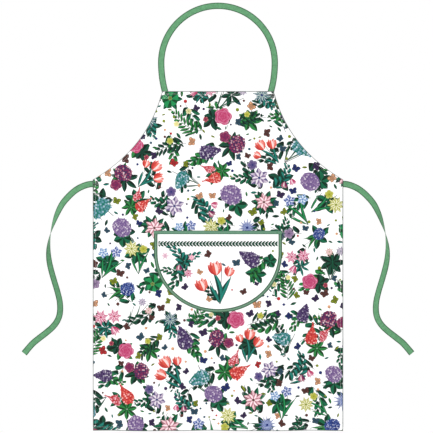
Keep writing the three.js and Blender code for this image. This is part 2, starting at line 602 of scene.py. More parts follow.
def small(kind: Small, x: float, z: float, turn: float, size: float, tint: Colour) -> Element:
    """A butterfly, leaflet or bud, with its place and size in millimetres."""
    return on_screen(Layer.SMALL, kind, x, z, turn, size, 0, 0, tint)


class Shapes:
    """The print's shapes, drawn in each element's own frame, where they reach about 1 from the middle.

    Every shape gives its mask and its tone, from 0 for the deep side to 1 for the light one.
    """

    def __init__(self, tree: Tree, layer: Layer) -> None:
        """Reads where each point lies within its element.

        Args:
            tree: The material's tree.
            layer: The screen that the shapes are on.
        """
        self.tree = tree
        self.u, self.v, self.seed = tree.parts(tree.attribute(f"{layer.value}_at"))
        self.kind, self.first, self.second = tree.parts(tree.attribute(f"{layer.value}_shape"))
        self.tint = tree.attribute(f"{layer.value}_tint")
        self.reach = (self.u * self.u + self.v * self.v).math("SQRT")

    def is_kind(self, kind: IntEnum) -> Value:
        """1 where the element is of that kind."""
        return self.kind.math("COMPARE", float(kind), 0.5)

    def chance(self, number: Value) -> Value:
        """A steady random number from 0 to 1 for each whole number in each element."""
        settings = {"noise_dimensions": "1D"}
        return self.tree.node("ShaderNodeTexWhiteNoise", settings, {"W": number + self.seed})

    def blade(
        self, across: Value, along: Value, length: Value | float, width: Value | float, edge: float = 0.025
    ) -> tuple[Value, Value]:
        """A pointed leaf or petal from the place where along is 0.

        Args:
            across: Distance from its middle line.
            along: Distance along its middle line.
            length: Its length.
            width: Half its width at the widest.
            edge: How soft its edge is.

        Returns:
            Its mask and tone; one side of the midrib is lighter, and the midrib lightest.
        """
        share = (along / length).ramp(0.0, 1.0, False)
        half = share * (1 - share) * width * 4
        inside = half - abs(across)
        mask = inside.ramp(0.0, edge)
        side = across.ramp(-0.03, 0.03) * 0.5
        rib = (0.022 - abs(across)).ramp(0.0, 0.02) * 0.5
        return mask, (side + rib + share * 0.2) * (0.35 + 0.65 * inside.ramp(0.0, edge * 3.2))

    def sectors(self, count: Value, turn: float = 0.0) -> tuple[Value, Value, Value, Value]:
        """Splits the turn round the middle into equal sectors.

        Args:
            count: How many there are.
            turn: Shifts them by this share of a sector.

        Returns:
            The sector's number, the angle within it in shares of a sector, and the distances across
            and along it.
        """
        around = self.u.math("ARCTAN2", self.v) * count / math.tau + turn
        cell = (around + 0.5).math("FLOOR")
        off = around - cell
        angle = off * math.tau / count
        return (
            cell.math("FLOORED_MODULO", count), off,
            self.reach * angle.math("SINE"), self.reach * angle.math("COSINE"),
        )

    def sprig(self) -> tuple[Value, Value]:
        """A bent stem with leaves on alternate sides, shorter towards its tip.

        Returns:
            Its mask and tone.
        """
        pitch = self.first
        x = self.u - self.second * 0.45 * (1 - self.v * self.v)
        away = abs(x)
        climb = self.v - away * 0.8 + (x > 0.0) * pitch * 0.5
        cell = (climb / pitch).math("FLOOR")
        rise = ((cell + 0.5) * pitch + 1) * 0.5
        length = (1 - rise * 0.62) * 0.66 * (0.75 + 0.25 * self.chance(cell + (x > 0.0) * 31))
        mask, tone = self.blade(climb - (cell + 0.5) * pitch, away, length, pitch * 0.52)
        inside = (rise > 0.04) * (rise < 0.97)
        stem = (0.026 - away).ramp(0.0, 0.02) * (abs(self.v) < 0.98)
        return (mask * inside).math("MAXIMUM", stem), tone

    def rosette(self) -> tuple[Value, Value]:
        """Pointed leaves all round, of uneven length.

        Returns:
            Its mask and tone.
        """
        cell, _, across, along = self.sectors(self.first)
        length = 0.68 + 0.32 * self.chance(cell * 3.7)
        return self.blade(across + along * along * 0.12, along, length, self.second)

    def blades(self) -> tuple[Value, Value]:
        """Three long curved leaves and three flower stems from one foot.

        Returns:
            Its mask and tone.
        """
        up = (self.v + 1) * 0.5
        mask = tone = up * 0.0
        for reach, lean in ((0.66, -0.85), (1.0, 0.1), (0.82, 0.78)):
            stem = (0.028 - abs(self.u - up * lean)).ramp(0.0, 0.02) * (up > 0.0) * (up < reach)
            mask = mask.math("MAXIMUM", stem)
        for reach, lean, curl in ((0.95, 0.35, -0.85), (0.78, 0.25, 0.75), (0.55, -1.1, 0.1)):
            middle = up * lean + up * up * curl
            one, light = self.blade((self.u - middle) * 0.8, up, reach, self.first)
            mask = mask.math("MAXIMUM", one)
            tone = tone.math("MAXIMUM", light * one)
        return mask, tone

    def round_bloom(self) -> tuple[Value, Value]:
        """Broad round petals with a smaller ring inside them and a dark eye.

        Returns:
            Its mask and tone.
        """
        _, off, _, _ = self.sectors(self.first)
        _, inner_off, _, _ = self.sectors(self.first, 0.5)
        lobe = (off * math.pi).math("COSINE").math("SQRT")
        inner_lobe = (inner_off * math.pi).math("COSINE").math("SQRT")
        mask = (0.62 + 0.36 * lobe - self.reach).ramp(0.0, 0.05)
        inner = (0.36 + 0.24 * inner_lobe - self.reach).ramp(0.0, 0.05)
        split = (0.47 - abs(off)).ramp(0.0, 0.06)
        vein = (off * math.tau * 4).math("COSINE") * 0.06
        outer_tone = 0.22 + self.reach * 0.55 * split + vein
        tone = outer_tone * (1 - inner) + inner * (0.35 + 0.5 * self.reach * inner_lobe)
        return mask, tone * (self.reach > 0.13)

    def pointed_bloom(self) -> tuple[Value, Value]:
        """Two rings of pointed petals round a small eye.

        Returns:
            Its mask and tone.
        """
        _, _, across, along = self.sectors(self.first)
        outer, outer_tone = self.blade(across, along, 1.0, self.second)
        _, _, across, along = self.sectors(self.first, 0.5)
        inner, inner_tone = self.blade(across, along, 0.72, self.second * 0.8)
        mask = outer.math("MAXIMUM", inner).math("MAXIMUM", (0.16 - self.reach).ramp(0.0, 0.04))
        tone = outer_tone * (1 - inner) + inner * (inner_tone + 0.25)
        return mask, (tone + 0.15) * (self.reach > 0.12)

    def cluster(self) -> tuple[Value, Value]:
        """Many four-petalled florets gathered in a ball, or in a cone where the second number is 1.

        Returns:
            Its mask and tone.
        """
        tree = self.tree
        spot = tree.node("ShaderNodeCombineXYZ", None, [self.u + self.seed * 17, self.v, 0.0])
        settings = {"voronoi_dimensions": "2D"}
        inputs = {"Vector": spot, "Scale": self.first, "Randomness": 0.75}
        near = tree.node("ShaderNodeTexVoronoi", settings, inputs, "Distance")
        outputs = near.socket.node.outputs
        px, py, _ = tree.parts(Value(tree, outputs["Position"]))
        cx = px - self.seed * 17
        inside = self.cone(cx, py, 0.84)
        turn = (self.v - py).math("ARCTAN2", self.u + self.seed * 17 - px)
        size = 0.33 + 0.15 * abs((turn * 2).math("COSINE"))
        mask = (size - near).ramp(0.0, 0.05) * (inside > 0.0)
        lot = tree.parts(Value(tree, outputs["Color"]))[1]
        back = self.cone(self.u, self.v, 0.8) > 0.0
        return mask.math("MAXIMUM", back), mask * (0.2 + 0.75 * lot) * (near > 0.09)

    def cone(self, across: Value, up: Value, wide: float) -> Value:
        """How far a place is inside a cluster's outline, which is wide each way where it doesn't taper."""
        broad = (1 - self.second * (up + 0.9) * 0.42).math("MAXIMUM", 0.12) * wide
        return 1 - (across / broad) ** 2 - (up / (wide + 0.1)) ** 2

    def tulip(self) -> tuple[Value, Value]:
        """A cup of five upright petals.

        Returns:
            Its mask and tone.
        """
        rise = self.v + 0.85
        mask = tone = None
        for lean, length in ((-0.5, 1.6), (0.5, 1.6), (-0.24, 1.78), (0.24, 1.74), (0.0, 1.6)):
            c, s = math.cos(lean), math.sin(lean)
            across = self.u * c - rise * s
            one, light = self.blade(across, self.u * s + rise * c, length, self.first)
            light = light + 0.3 * float(lean == 0) + 0.12 * float(abs(lean) < 0.3)
            if mask is None:
                mask, tone = one, light
            else:
                tone = tone * (1 - one) + light * one
                mask = mask.math("MAXIMUM", one)
        return mask, tone

    def rose(self) -> tuple[Value, Value]:
        """Petals wound in a spiral, with a scalloped edge.

        Returns:
            Its mask and tone.
        """
        around = self.u.math("ARCTAN2", self.v)
        scallop = abs((around * 2.5 + self.seed * 6).math("SINE"))
        mask = (0.8 + 0.18 * scallop - self.reach).ramp(0.0, 0.05)
        wave = (around * 5 + self.reach * 9).math("SINE") * 0.22
        band = (self.reach * self.first + around / math.tau + wave).math("FRACT")
        return mask, 0.1 + 0.8 * band * (0.35 + 0.65 * self.reach)

    def butterfly(self) -> tuple[Value, Value]:
        """Open wings, dark at the edge with pale spots, over a slim body.

        Returns:
            Its mask and tone.
        """
        away = abs(self.u)
        mask = ((0.09 - away) * 12).ramp(0.0, 1.0) * (abs(self.v) < 0.55)
        tone = mask * 0.0
        for lean, length, width in ((0.92, 1.1, 0.44), (2.2, 0.86, 0.4)):
            c, s = math.cos(lean), math.sin(lean)
            along = away * s + self.v * c
            across = away * c - self.v * s
            one, _ = self.blade(across, along, length, width, 0.05)
            spot = (0.5 - abs(along - length * 0.62) * 3 - abs(across) * 3).ramp(0.0, 0.3)
            mask = mask.math("MAXIMUM", one)
            tone = tone.math("MAXIMUM", one * (0.3 + 0.8 * spot - (along > length * 0.86) * 0.3))
        return mask, tone

    def leaflet(self) -> tuple[Value, Value]:
        """One leaf lying loose."""
        return self.blade(self.u, self.v + 1, 2.0, 0.4, 0.06)

    def bud(self) -> tuple[Value, Value]:
        """A round bud on a short stalk.

        Returns:
            Its mask and tone.
        """
        mask = (0.5 - self.reach).ramp(0.0, 0.08)
        stalk = (0.07 - abs(self.u)).ramp(0.0, 0.05) * (self.v < -0.3) * (self.v > -1.0)
        return mask.math("MAXIMUM", stalk), self.v * 0.5 + 0.5

    def screen(self, drawn: dict[IntEnum, Callable[[], tuple[Value, Value]]]) -> tuple[Value, Value]:
        """Adds up one screen's kinds.

        Args:
            drawn: The method that draws each kind.

        Returns:
            The whole screen's mask and tone.
        """
        mask = tone = None
        for kind, draw in drawn.items():
            one, light = draw()
            chosen = one * self.is_kind(kind)
            mask = chosen if mask is None else mask + chosen
            tone = light * chosen if tone is None else tone + light * chosen
        return mask, tone


@dataclass(frozen=True)
class PrintedCloth:
    """Plain-woven white cotton with a botanical print, whose edge falls into a thin shade."""

    name: str = "printed_cotton"
    ground: Colour = (0.93, 0.93, 0.925)
    weave: float = 0.62 * MM
    # Width of the painted shade band along the cloth's edge
    edge_shade_width: float = 2.1 * MM
    # A slightly greyer white, laid in soft random clouds by noise
    cloud_grey: Colour = (0.87, 0.875, 0.88)
    petal_light: Colour = (0.95, 0.93, 0.92)
    # Colour of the painted shade along the cloth's edge and over a hem's rolled front
    edge_shade: Colour = (0.10, 0.12, 0.11)

    @staticmethod
    def variant(cloth: Material, name: str, ink: float = 1.0, border: float = 0.0) -> Material:
        """A copy of the printed cloth.

        Args:
            cloth: The printed cloth's material.
            name: The copy's name.
            ink: How strong the print is, below 1 where it is seen through from the back.
            border: 1 where the copy has the pocket's row of leaves.

        Returns:
            The copy.
        """
        copy = cloth.copy()
        copy.name = name
        for node in copy.node_tree.nodes:
            if node.label == "ink":
                node.inputs[1].default_value = ink
            elif node.label == "border":
                node.inputs[1].default_value = border
        return copy

    def build(self) -> Material:
        """The cloth's material.

        Returns:
            The material.
        """
        tree = Tree(self.name)
        spot, u, v = tree.flat()
        # Soft random clouds of the greyer white over the ground, placed by noise and not by the cloth's
        # folds
        colour = tree.mix(self.ground, self.cloud_grey, tree.noise(spot, 14.0).ramp(0.35, 0.75) * 0.35)
        blot = tree.noise(spot, 420.0, 3.0)
        for layer in Layer:
            shapes = Shapes(tree, layer)
            kinds = self.drawn(shapes, layer)
            mask, tone = shapes.screen(kinds)
            tone = (tone + (blot - 0.5) * 0.45).ramp(0.0, 1.0, False)
            if layer is Layer.BLOOM:
                core = tree.attribute("bloom_core")
                dyed = tree.mix(core, shapes.tint, (tone * 1.18).ramp(0.0, 1.0, False))
                dyed = tree.mix(dyed, self.petal_light, (tone - 0.5).ramp(0.0, 0.7) * 0.75)
            else:
                dyed = tree.shade(shapes.tint, 0.12 + tone * 1.75)
            inked = {"operation": "MULTIPLY", "label": "ink"}
            share = tree.node("ShaderNodeMath", inked, [mask.math("MINIMUM", 1.0), 1.0])
            colour = tree.mix(colour, dyed, share)
        shown = {"operation": "MULTIPLY", "label": "border"}
        share = tree.node("ShaderNodeMath", shown, [self.leaf_border(u, v), 0.0])
        colour = tree.mix(colour, Dye.PINE, share)
        # Painted shade along the cloth's edge: near the edge, and over a hem's rolled front, the colour
        # goes most of the way to a near-black
        edge = tree.node("ShaderNodeAttribute", {"attribute_name": "edge"}, (), "Fac")
        colour = tree.mix(self.edge_shade, colour, edge.ramp(self.edge_shade_width * 0.4, self.edge_shade_width) * 0.85 + 0.15)
        warp = (u * (math.tau / self.weave)).math("SINE")
        weft = (v * (math.tau / self.weave)).math("SINE")
        slub = tree.noise(spot, 900.0, 1.0)
        return tree.cloth(colour, warp * weft * 0.4 + 0.5 + slub * 0.4, 0.05 * MM, 0.88, 0.12)

    @staticmethod
    def leaf_border(u: Value, v: Value) -> Value:
        """The row of paired leaves under the pocket's mouth, all pointing to the left.

        Args:
            u: Place across the cloth.
            v: Height on the cloth.

        Returns:
            The border's mask.
        """
        pitch, reach = 8.2 * MM, 7.0 * MM
        away = abs(v - (CUT.pocket_top - 32 * MM))
        share = (away / reach).ramp(0.0, 1.0, False)
        step = ((u - away * 0.95) / pitch).math("FRACT")
        half = (share * (1 - share)).math("SQRT") * 0.88
        leaves = (half - abs(step - 0.5)).ramp(0.0, 0.06) * (away < reach)
        stem = (1.1 * MM - away).ramp(0.0, 0.3 * MM)
        return leaves.math("MAXIMUM", stem) * (abs(u) < CUT.pocket_half - 11 * MM)

    @staticmethod
    def drawn(shapes: Shapes, layer: Layer) -> dict[IntEnum, Callable[[], tuple[Value, Value]]]:
        """The methods that draw a screen's kinds.

        Args:
            shapes: The shapes.
            layer: The screen.

        Returns:
            Each kind's method.
        """
        if layer is Layer.UNDER:
            return {Leaf.SPRIG: shapes.sprig, Leaf.ROSETTE: shapes.rosette}
        if layer is Layer.LEAF:
            return {Leaf.SPRIG: shapes.sprig, Leaf.ROSETTE: shapes.rosette, Leaf.BLADES: shapes.blades}
        if layer is Layer.BLOOM:
            return {Bloom.ROUND: shapes.round_bloom, Bloom.POINTED: shapes.pointed_bloom,
                    Bloom.CLUSTER: shapes.cluster, Bloom.TULIP: shapes.tulip, Bloom.ROSE: shapes.rose}
        return {Small.BUTTERFLY: shapes.butterfly, Small.LEAFLET: shapes.leaflet, Small.BUD: shapes.bud}


@dataclass(frozen=True)
class GreenTape:
    """Cotton tape woven in a fine herringbone, darker towards both edges."""

    name: str
    width: float
    dye: Colour = linear(99, 155, 112)
    deep: Colour = linear(46, 84, 57)
    rib: float = 1.1 * MM
    zigzag: float = 4.0 * MM

    def build(self) -> Material:
        """The tape's material, read along the map that follows it.

        Returns:
            The material.
        """
        tree = Tree(self.name)
        spot, u, v = tree.flat()
        column = (u / self.zigzag + 0.5).math("PINGPONG", 1.0)
        rib = ((v / self.rib + column * self.zigzag / self.rib) * math.pi).math("SINE")
        cloudy = tree.noise(spot, 120.0, 3.0)
        # The colour darkens towards the deep green within about three millimetres of both edges of the
        # tape
        edge = (self.width / 2 - abs(u)).ramp(1.5 * MM, 2.9 * MM)
        tone = rib * 0.12 + (cloudy - 0.5) * 0.5 + 0.62
        colour = tree.mix(self.deep, self.dye, (tone * (0.1 + 0.9 * edge) * 1.25).ramp(0.0, 1.0, False))
        return tree.cloth(colour, rib * 0.5 + 0.5, 0.12 * MM, 0.82, 0.2)


@dataclass(frozen=True)
class Binding:
    """Bias-cut cotton binding: twill lines run aslant, and the turned edges carry a painted shade."""

    name: str
    width: float
    dye: Colour = linear(106, 141, 117)
    deep: Colour = linear(38, 74, 52)
    line: float = 2.4 * MM

    def build(self) -> Material:
        """The binding's material, with u across the band.

        Returns:
            The material.
        """
        tree = Tree(self.name)
        spot, u, v = tree.flat()
        twill = ((u + v) * (math.tau / (0.9 * MM))).math("SINE")
        # Painted shade along both turned edges: a band of width line on each side goes to the deep colour
        middle = (self.width / 2 - abs(u) - self.line).ramp(-0.5 * MM, 0.5 * MM)
        cloudy = tree.noise(spot, 160.0, 3.0)
        tone = middle * (0.85 + (cloudy - 0.5) * 0.5) + twill * 0.05
        colour = tree.mix(self.deep, self.dye, tone.ramp(0.0, 1.0, False))
        return tree.cloth(colour, twill * 0.5 + 0.5, 0.06 * MM, 0.85, 0.18)


@dataclass(frozen=True)
class Thread:
    """Twisted sewing thread."""

    name: str
    dye: Colour

    def build(self) -> Material:
        """The thread's material, mottled as twisted plies are.

        Returns:
            The material.
        """
        tree = Tree(self.name)
        place = tree.node("ShaderNodeTexCoord", None, (), "Object")
        inputs = {"Vector": place, "Scale": 2600.0, "Detail": 1.0}
        plies = tree.node("ShaderNodeTexNoise", None, inputs, "Fac")
        deep = tuple(c * 0.72 for c in self.dye)
        colour = tree.mix(deep, self.dye, plies.ramp(0.35, 0.6))
        return tree.cloth(colour, plies, 0.08 * MM, 0.6, 0.1)


# ---- print repeat

HYDRANGEA = [
    leaf(Leaf.ROSETTE, -8, -12, 200, 27, 5, 0.30, Dye.FOREST),
    bloom(Bloom.CLUSTER, 5, 6, 0, 23, 5.4, 0.0, Dye.MAUVE, Dye.PURPLE),
]
LILAC = [
    leaf(Leaf.SPRIG, 10, -14, -150, 27, 0.5, 0.3, Dye.MOSS),
    bloom(Bloom.CLUSTER, -8, 12, 48, 25, 5.6, 1.0, Dye.PURPLE, Dye.PLUM),
]
IRIS = [
    leaf(Leaf.BLADES, 4, -6, -20, 34, 0.085, 0, Dye.GRASS),
    bloom(Bloom.POINTED, 12, 20, 10, 13, 5, 0.30, Dye.BLUE, Dye.NAVY),
    bloom(Bloom.POINTED, -14, 14, -30, 12, 5, 0.34, Dye.SKY, Dye.BLUE),
]
LILY = [
    leaf(Leaf.ROSETTE, 0, 0, 12, 33, 9, 0.17, Dye.FOREST),
    bloom(Bloom.POINTED, 1, 2, 0, 21, 6, 0.22, Dye.BLUSH, Dye.BROWN),
]
ROSE = [
    leaf(Leaf.ROSETTE, -9, -8, 40, 27, 6, 0.27, Dye.PINE),
    bloom(Bloom.ROSE, 7, 6, 0, 19, 3.4, 0, Dye.PINK, Dye.MAGENTA),
    bloom(Bloom.ROUND, -20, -18, 0, 6, 5, 0, Dye.RED, Dye.PLUM),
]
SPRAY = [
    leaf(Leaf.BLADES, -4, -8, 12, 31, 0.075, 0, Dye.GRASS),
    bloom(Bloom.POINTED, 8, 14, 0, 17, 9, 0.16, Dye.YELLOW, Dye.OLIVE),
    bloom(Bloom.ROUND, -15, 10, 0, 9, 5, 0, Dye.YELLOW, Dye.OLIVE),
]
FERN = [
    leaf(Leaf.SPRIG, 0, 0, 14, 33, 0.24, 0.7, Dye.MOSS),
    bloom(Bloom.ROUND, 15, 17, 0, 6, 5, 0, Dye.CREAM, Dye.YELLOW),
    bloom(Bloom.ROUND, -16, 5, 0, 6, 5, 0, Dye.CREAM, Dye.OLIVE),
]
FUCHSIA = [
    leaf(Leaf.SPRIG, -3, 8, -35, 30, 0.36, 0.9, Dye.TEAL),
    bloom(Bloom.TULIP, 2, -16, 172, 9, 0.30, 0, Dye.MAGENTA, Dye.PLUM),
    bloom(Bloom.TULIP, 20, -12, 195, 9, 0.26, 0, Dye.PINK, Dye.MAGENTA),
]
GLOBE = [
    leaf(Leaf.BLADES, -2, -9, 160, 31, 0.07, 0, Dye.FOREST),
    bloom(Bloom.POINTED, 3, 9, 0, 21, 14, 0.07, Dye.BLUE, Dye.NAVY),
]
LUPIN = [
    leaf(Leaf.ROSETTE, 12, -12, 0, 25, 7, 0.19, Dye.MOSS),
    bloom(Bloom.CLUSTER, -15, 2, 38, 24, 6.0, 1.45, Dye.CORAL, Dye.RED),
    bloom(Bloom.CLUSTER, 3, 20, 0, 20, 6.0, 1.55, Dye.BLUSH, Dye.RED),
]
ANEMONE = [
    leaf(Leaf.SPRIG, 14, -14, 215, 26, 0.42, 0.5, Dye.FOREST),
    bloom(Bloom.POINTED, -9, 9, 0, 20, 6, 0.27, Dye.MAUVE, Dye.NAVY),
    bloom(Bloom.ROUND, 19, 13, 0, 11, 5, 0, Dye.PURPLE, Dye.NAVY),
]
HONEYSUCKLE = [
    leaf(Leaf.ROSETTE, 4, -11, 0, 26, 7, 0.12, Dye.TEAL),
    bloom(Bloom.POINTED, -13, 5, 0, 16, 7, 0.15, Dye.PINK, Dye.MAGENTA),
    bloom(Bloom.POINTED, 10, 17, 40, 15, 7, 0.17, Dye.PINK, Dye.MAGENTA),
    bloom(Bloom.TULIP, 22, -8, -120, 12, 0.2, 0, Dye.PINK, Dye.MAGENTA),
]
PANSIES = [
    leaf(Leaf.SPRIG, 4, 8, 30, 27, 0.34, -0.6, Dye.FOREST),
    bloom(Bloom.ROUND, -11, -10, 20, 12, 5, 0, Dye.MAUVE, Dye.PLUM),
    bloom(Bloom.ROUND, 9, -14, 0, 12, 5, 0, Dye.SLATE, Dye.BLACK),
]
CLOVER = [
    leaf(Leaf.ROSETTE, 0, 0, 20, 24, 5, 0.50, Dye.GRASS),
    bloom(Bloom.ROUND, 2, 1, 0, 5, 5, 0, Dye.OLIVE, Dye.FOREST),
]
TULIPS = [
    leaf(Leaf.BLADES, 2, -8, 0, 31, 0.10, 0, Dye.TEAL),
    bloom(Bloom.TULIP, -15, 8, 28, 14, 0.36, 0, Dye.CORAL, Dye.RED),
    bloom(Bloom.TULIP, 6, 22, 0, 15, 0.36, 0, Dye.CORAL, Dye.RED),
    bloom(Bloom.TULIP, 26, 10, -30, 11, 0.34, 0, Dye.CORAL, Dye.RED),
]
TWIG = [
    leaf(Leaf.SPRIG, 0, 0, 70, 34, 0.27, 0.4, Dye.PINE),
    bloom(Bloom.ROUND, 10, 12, 0, 7, 5, 0, Dye.YELLOW, Dye.OLIVE),
]
BELLS = [
    leaf(Leaf.BLADES, -4, -4, -60, 36, 0.045, 0, Dye.FOREST),
    bloom(Bloom.CLUSTER, 8, -6, 215, 24, 5.0, 0.8, Dye.SKY, Dye.TEAL),
]
BLUEBALL = [
    leaf(Leaf.BLADES, 2, -12, 190, 25, 0.12, 0, Dye.MOSS),
    bloom(Bloom.CLUSTER, 0, 10, 0, 16, 5.6, 0.0, Dye.BLUE, Dye.NAVY),
]
DAHLIA = [
    leaf(Leaf.ROSETTE, 2, -4, 0, 31, 7, 0.17, Dye.PINE),
    bloom(Bloom.CLUSTER, -7, 3, 0, 19, 4.6, 0.0, Dye.MAGENTA, Dye.PLUM),
    bloom(Bloom.ROSE, 19, 8, 0, 12, 2.8, 0, Dye.MAGENTA, Dye.PLUM),
]
MEADOW = [
    leaf(Leaf.BLADES, 0, -8, 0, 34, 0.05, 0, Dye.FOREST),
    bloom(Bloom.POINTED, -13, 16, 0, 10, 9, 0.14, Dye.BLUSH, Dye.OLIVE),
    bloom(Bloom.POINTED, 10, 22, 0, 11, 9, 0.14, Dye.MAUVE, Dye.SLATE),
]
STAR = [
    leaf(Leaf.SPRIG, -6, -10, 120, 26, 0.4, 0.4, Dye.TEAL),
    bloom(Bloom.POINTED, 6, 6, 0, 19, 8, 0.12, Dye.TEAL, Dye.NAVY),
]
MOTIFS = [
    HYDRANGEA, TULIPS, FERN, BLUEBALL, LILY, BELLS, ROSE,
    CLOVER, IRIS, LUPIN, TWIG, HONEYSUCKLE, SPRAY, ANEMONE,
    LILAC, MEADOW, GLOBE, FUCHSIA, DAHLIA, STAR, PANSIES,
]
# Tints of wings and buds, the common ones more than once
WINGS = [Dye.BROWN] * 3 + [Dye.OLIVE] * 3 + [Dye.SLATE] * 3 + [Dye.PLUM] * 2 + [Dye.SAND] * 2
WINGS += [Dye.NAVY] * 2 + [Dye.RED]
# Tints of loose leaves
GREENS = [Dye.FOREST, Dye.MOSS, Dye.PINE, Dye.TEAL, Dye.OLIVE]
# What lies in the gaps, butterflies most often
LOOSE = [Small.BUTTERFLY] * 3 + [Small.LEAFLET, Small.BUD]


@dataclass(frozen=True)
class Repeat:
    """The all-over print: motifs in offset rows, with butterflies and loose leaves in the gaps."""

    columns: int = 7
    rows: int = 8
    width: float = 563 * MM
    pitch: float = 70 * MM
    stray: float = 9 * MM
    lift: float = 17 * MM
    scale: float = 1.2
    growth: tuple[float, float] = (0.86, 1.12)
    lean: float = 70
    under_shift: float = 6
    under_turn: tuple[float, float] = (60, 160)
    under_sprigs: float = 0.6
    sprig_size: float = 41 * MM
    rosette_size: float = 37 * MM
    wings: tuple[float, float] = (8.5, 13)
    buds: tuple[float, float] = (5, 10)
    clearance: float = 0.5 * MM
    seed: int = 11
    tries: int = 7500

    def motifs(self, low: Vector, high: Vector) -> list[Element]:
        """The motifs that reach a rectangle of cloth.

        Args:
            low: Its lowest corner.
            high: Its highest corner.

        Returns:
            Their elements.
        """
        step = self.width / self.columns
        elements = []
        for row in range(int(low.z / self.pitch) - 2, int(high.z / self.pitch) + 2):
            for column in range(int(low.x / step) - 2, int(high.x / step) + 3):
                tile_row, tile_column = row % self.rows, column % self.columns
                dice = random.Random(tile_row * 31 + tile_column * 7 + 5)
                x = (column + 0.5 * (row % 2)) * step + dice.uniform(-self.stray, self.stray)
                z = row * self.pitch + dice.uniform(-self.lift, self.lift)
                recipe = MOTIFS[(4 * column + 9 * row) % len(MOTIFS)]
                turn, flip = dice.uniform(-self.lean, self.lean), dice.choice((-1, 1))
                scale = self.scale * dice.uniform(*self.growth)
                elements += [part.placed(x, z, turn, flip, scale) for part in recipe]
                elements.append(self.foliage(recipe[0], x, z, turn, dice))
        return elements

    def foliage(self, over: Element, x: float, z: float, turn: float, dice: random.Random) -> Element:
        """The darker leaves that stand behind a motif.

        Args:
            over: The motif's own leaves.
            x: The motif's place across, in metres.
            z: Its height.
            turn: Its turn, in degrees.
            dice: The motif's own random numbers.

        Returns:
            One element on the lowest screen.
        """
        dark = {Dye.FOREST: Dye.PINE, Dye.GRASS: Dye.FOREST, Dye.MOSS: Dye.FOREST, Dye.TEAL: Dye.PINE}
        tint = dark.get(over.tint, Dye.MOSS)
        shift = self.under_shift
        x, z = x + dice.uniform(-shift, shift) * MM, z + dice.uniform(-shift, shift) * MM
        turn = turn + dice.uniform(*self.under_turn)
        if dice.random() < self.under_sprigs:
            pitch, bend = dice.uniform(0.36, 0.5), dice.uniform(-0.9, 0.9)
            return Element(Layer.UNDER, Leaf.SPRIG, x, z, turn, self.sprig_size, pitch, bend, tint)
        count, width = dice.choice((5, 6, 7)), dice.uniform(0.17, 0.26)
        return Element(Layer.UNDER, Leaf.ROSETTE, x, z, turn, self.rosette_size, count, width, tint)

    def fillers(self, around: Sequence[Element], low: Vector, high: Vector) -> list[Element]:
        """Butterflies, leaves and buds in the gaps that the motifs leave.

        Args:
            around: The elements already there.
            low: The rectangle's lowest corner.
            high: Its highest corner.

        Returns:
            The small elements.
        """
        dice = random.Random(self.seed)
        taken = [(part.x, part.z, part.size * self.fullness(part)) for part in around]
        found = []
        for _ in range(self.tries):
            x, z = dice.uniform(low.x, high.x), dice.uniform(low.z, high.z)
            kind = dice.choice(LOOSE)
            size = dice.uniform(*(self.wings if kind is Small.BUTTERFLY else self.buds)) * MM
            need = size + self.clearance
            if all((x - a) ** 2 + (z - b) ** 2 > (reach + need) ** 2 for a, b, reach in taken):
                tint = dice.choice(GREENS if kind is Small.LEAFLET else WINGS)
                found.append(Element(Layer.SMALL, kind, x, z, dice.uniform(-120, 120), size, 0, 0, tint))
                taken.append((x, z, size))
        return found

    @staticmethod
    def fullness(part: Element) -> float:
        """How much of an element's circle its shape really fills."""
        return {Layer.UNDER: 0.4, Layer.LEAF: 0.52}.get(part.layer, 0.84)


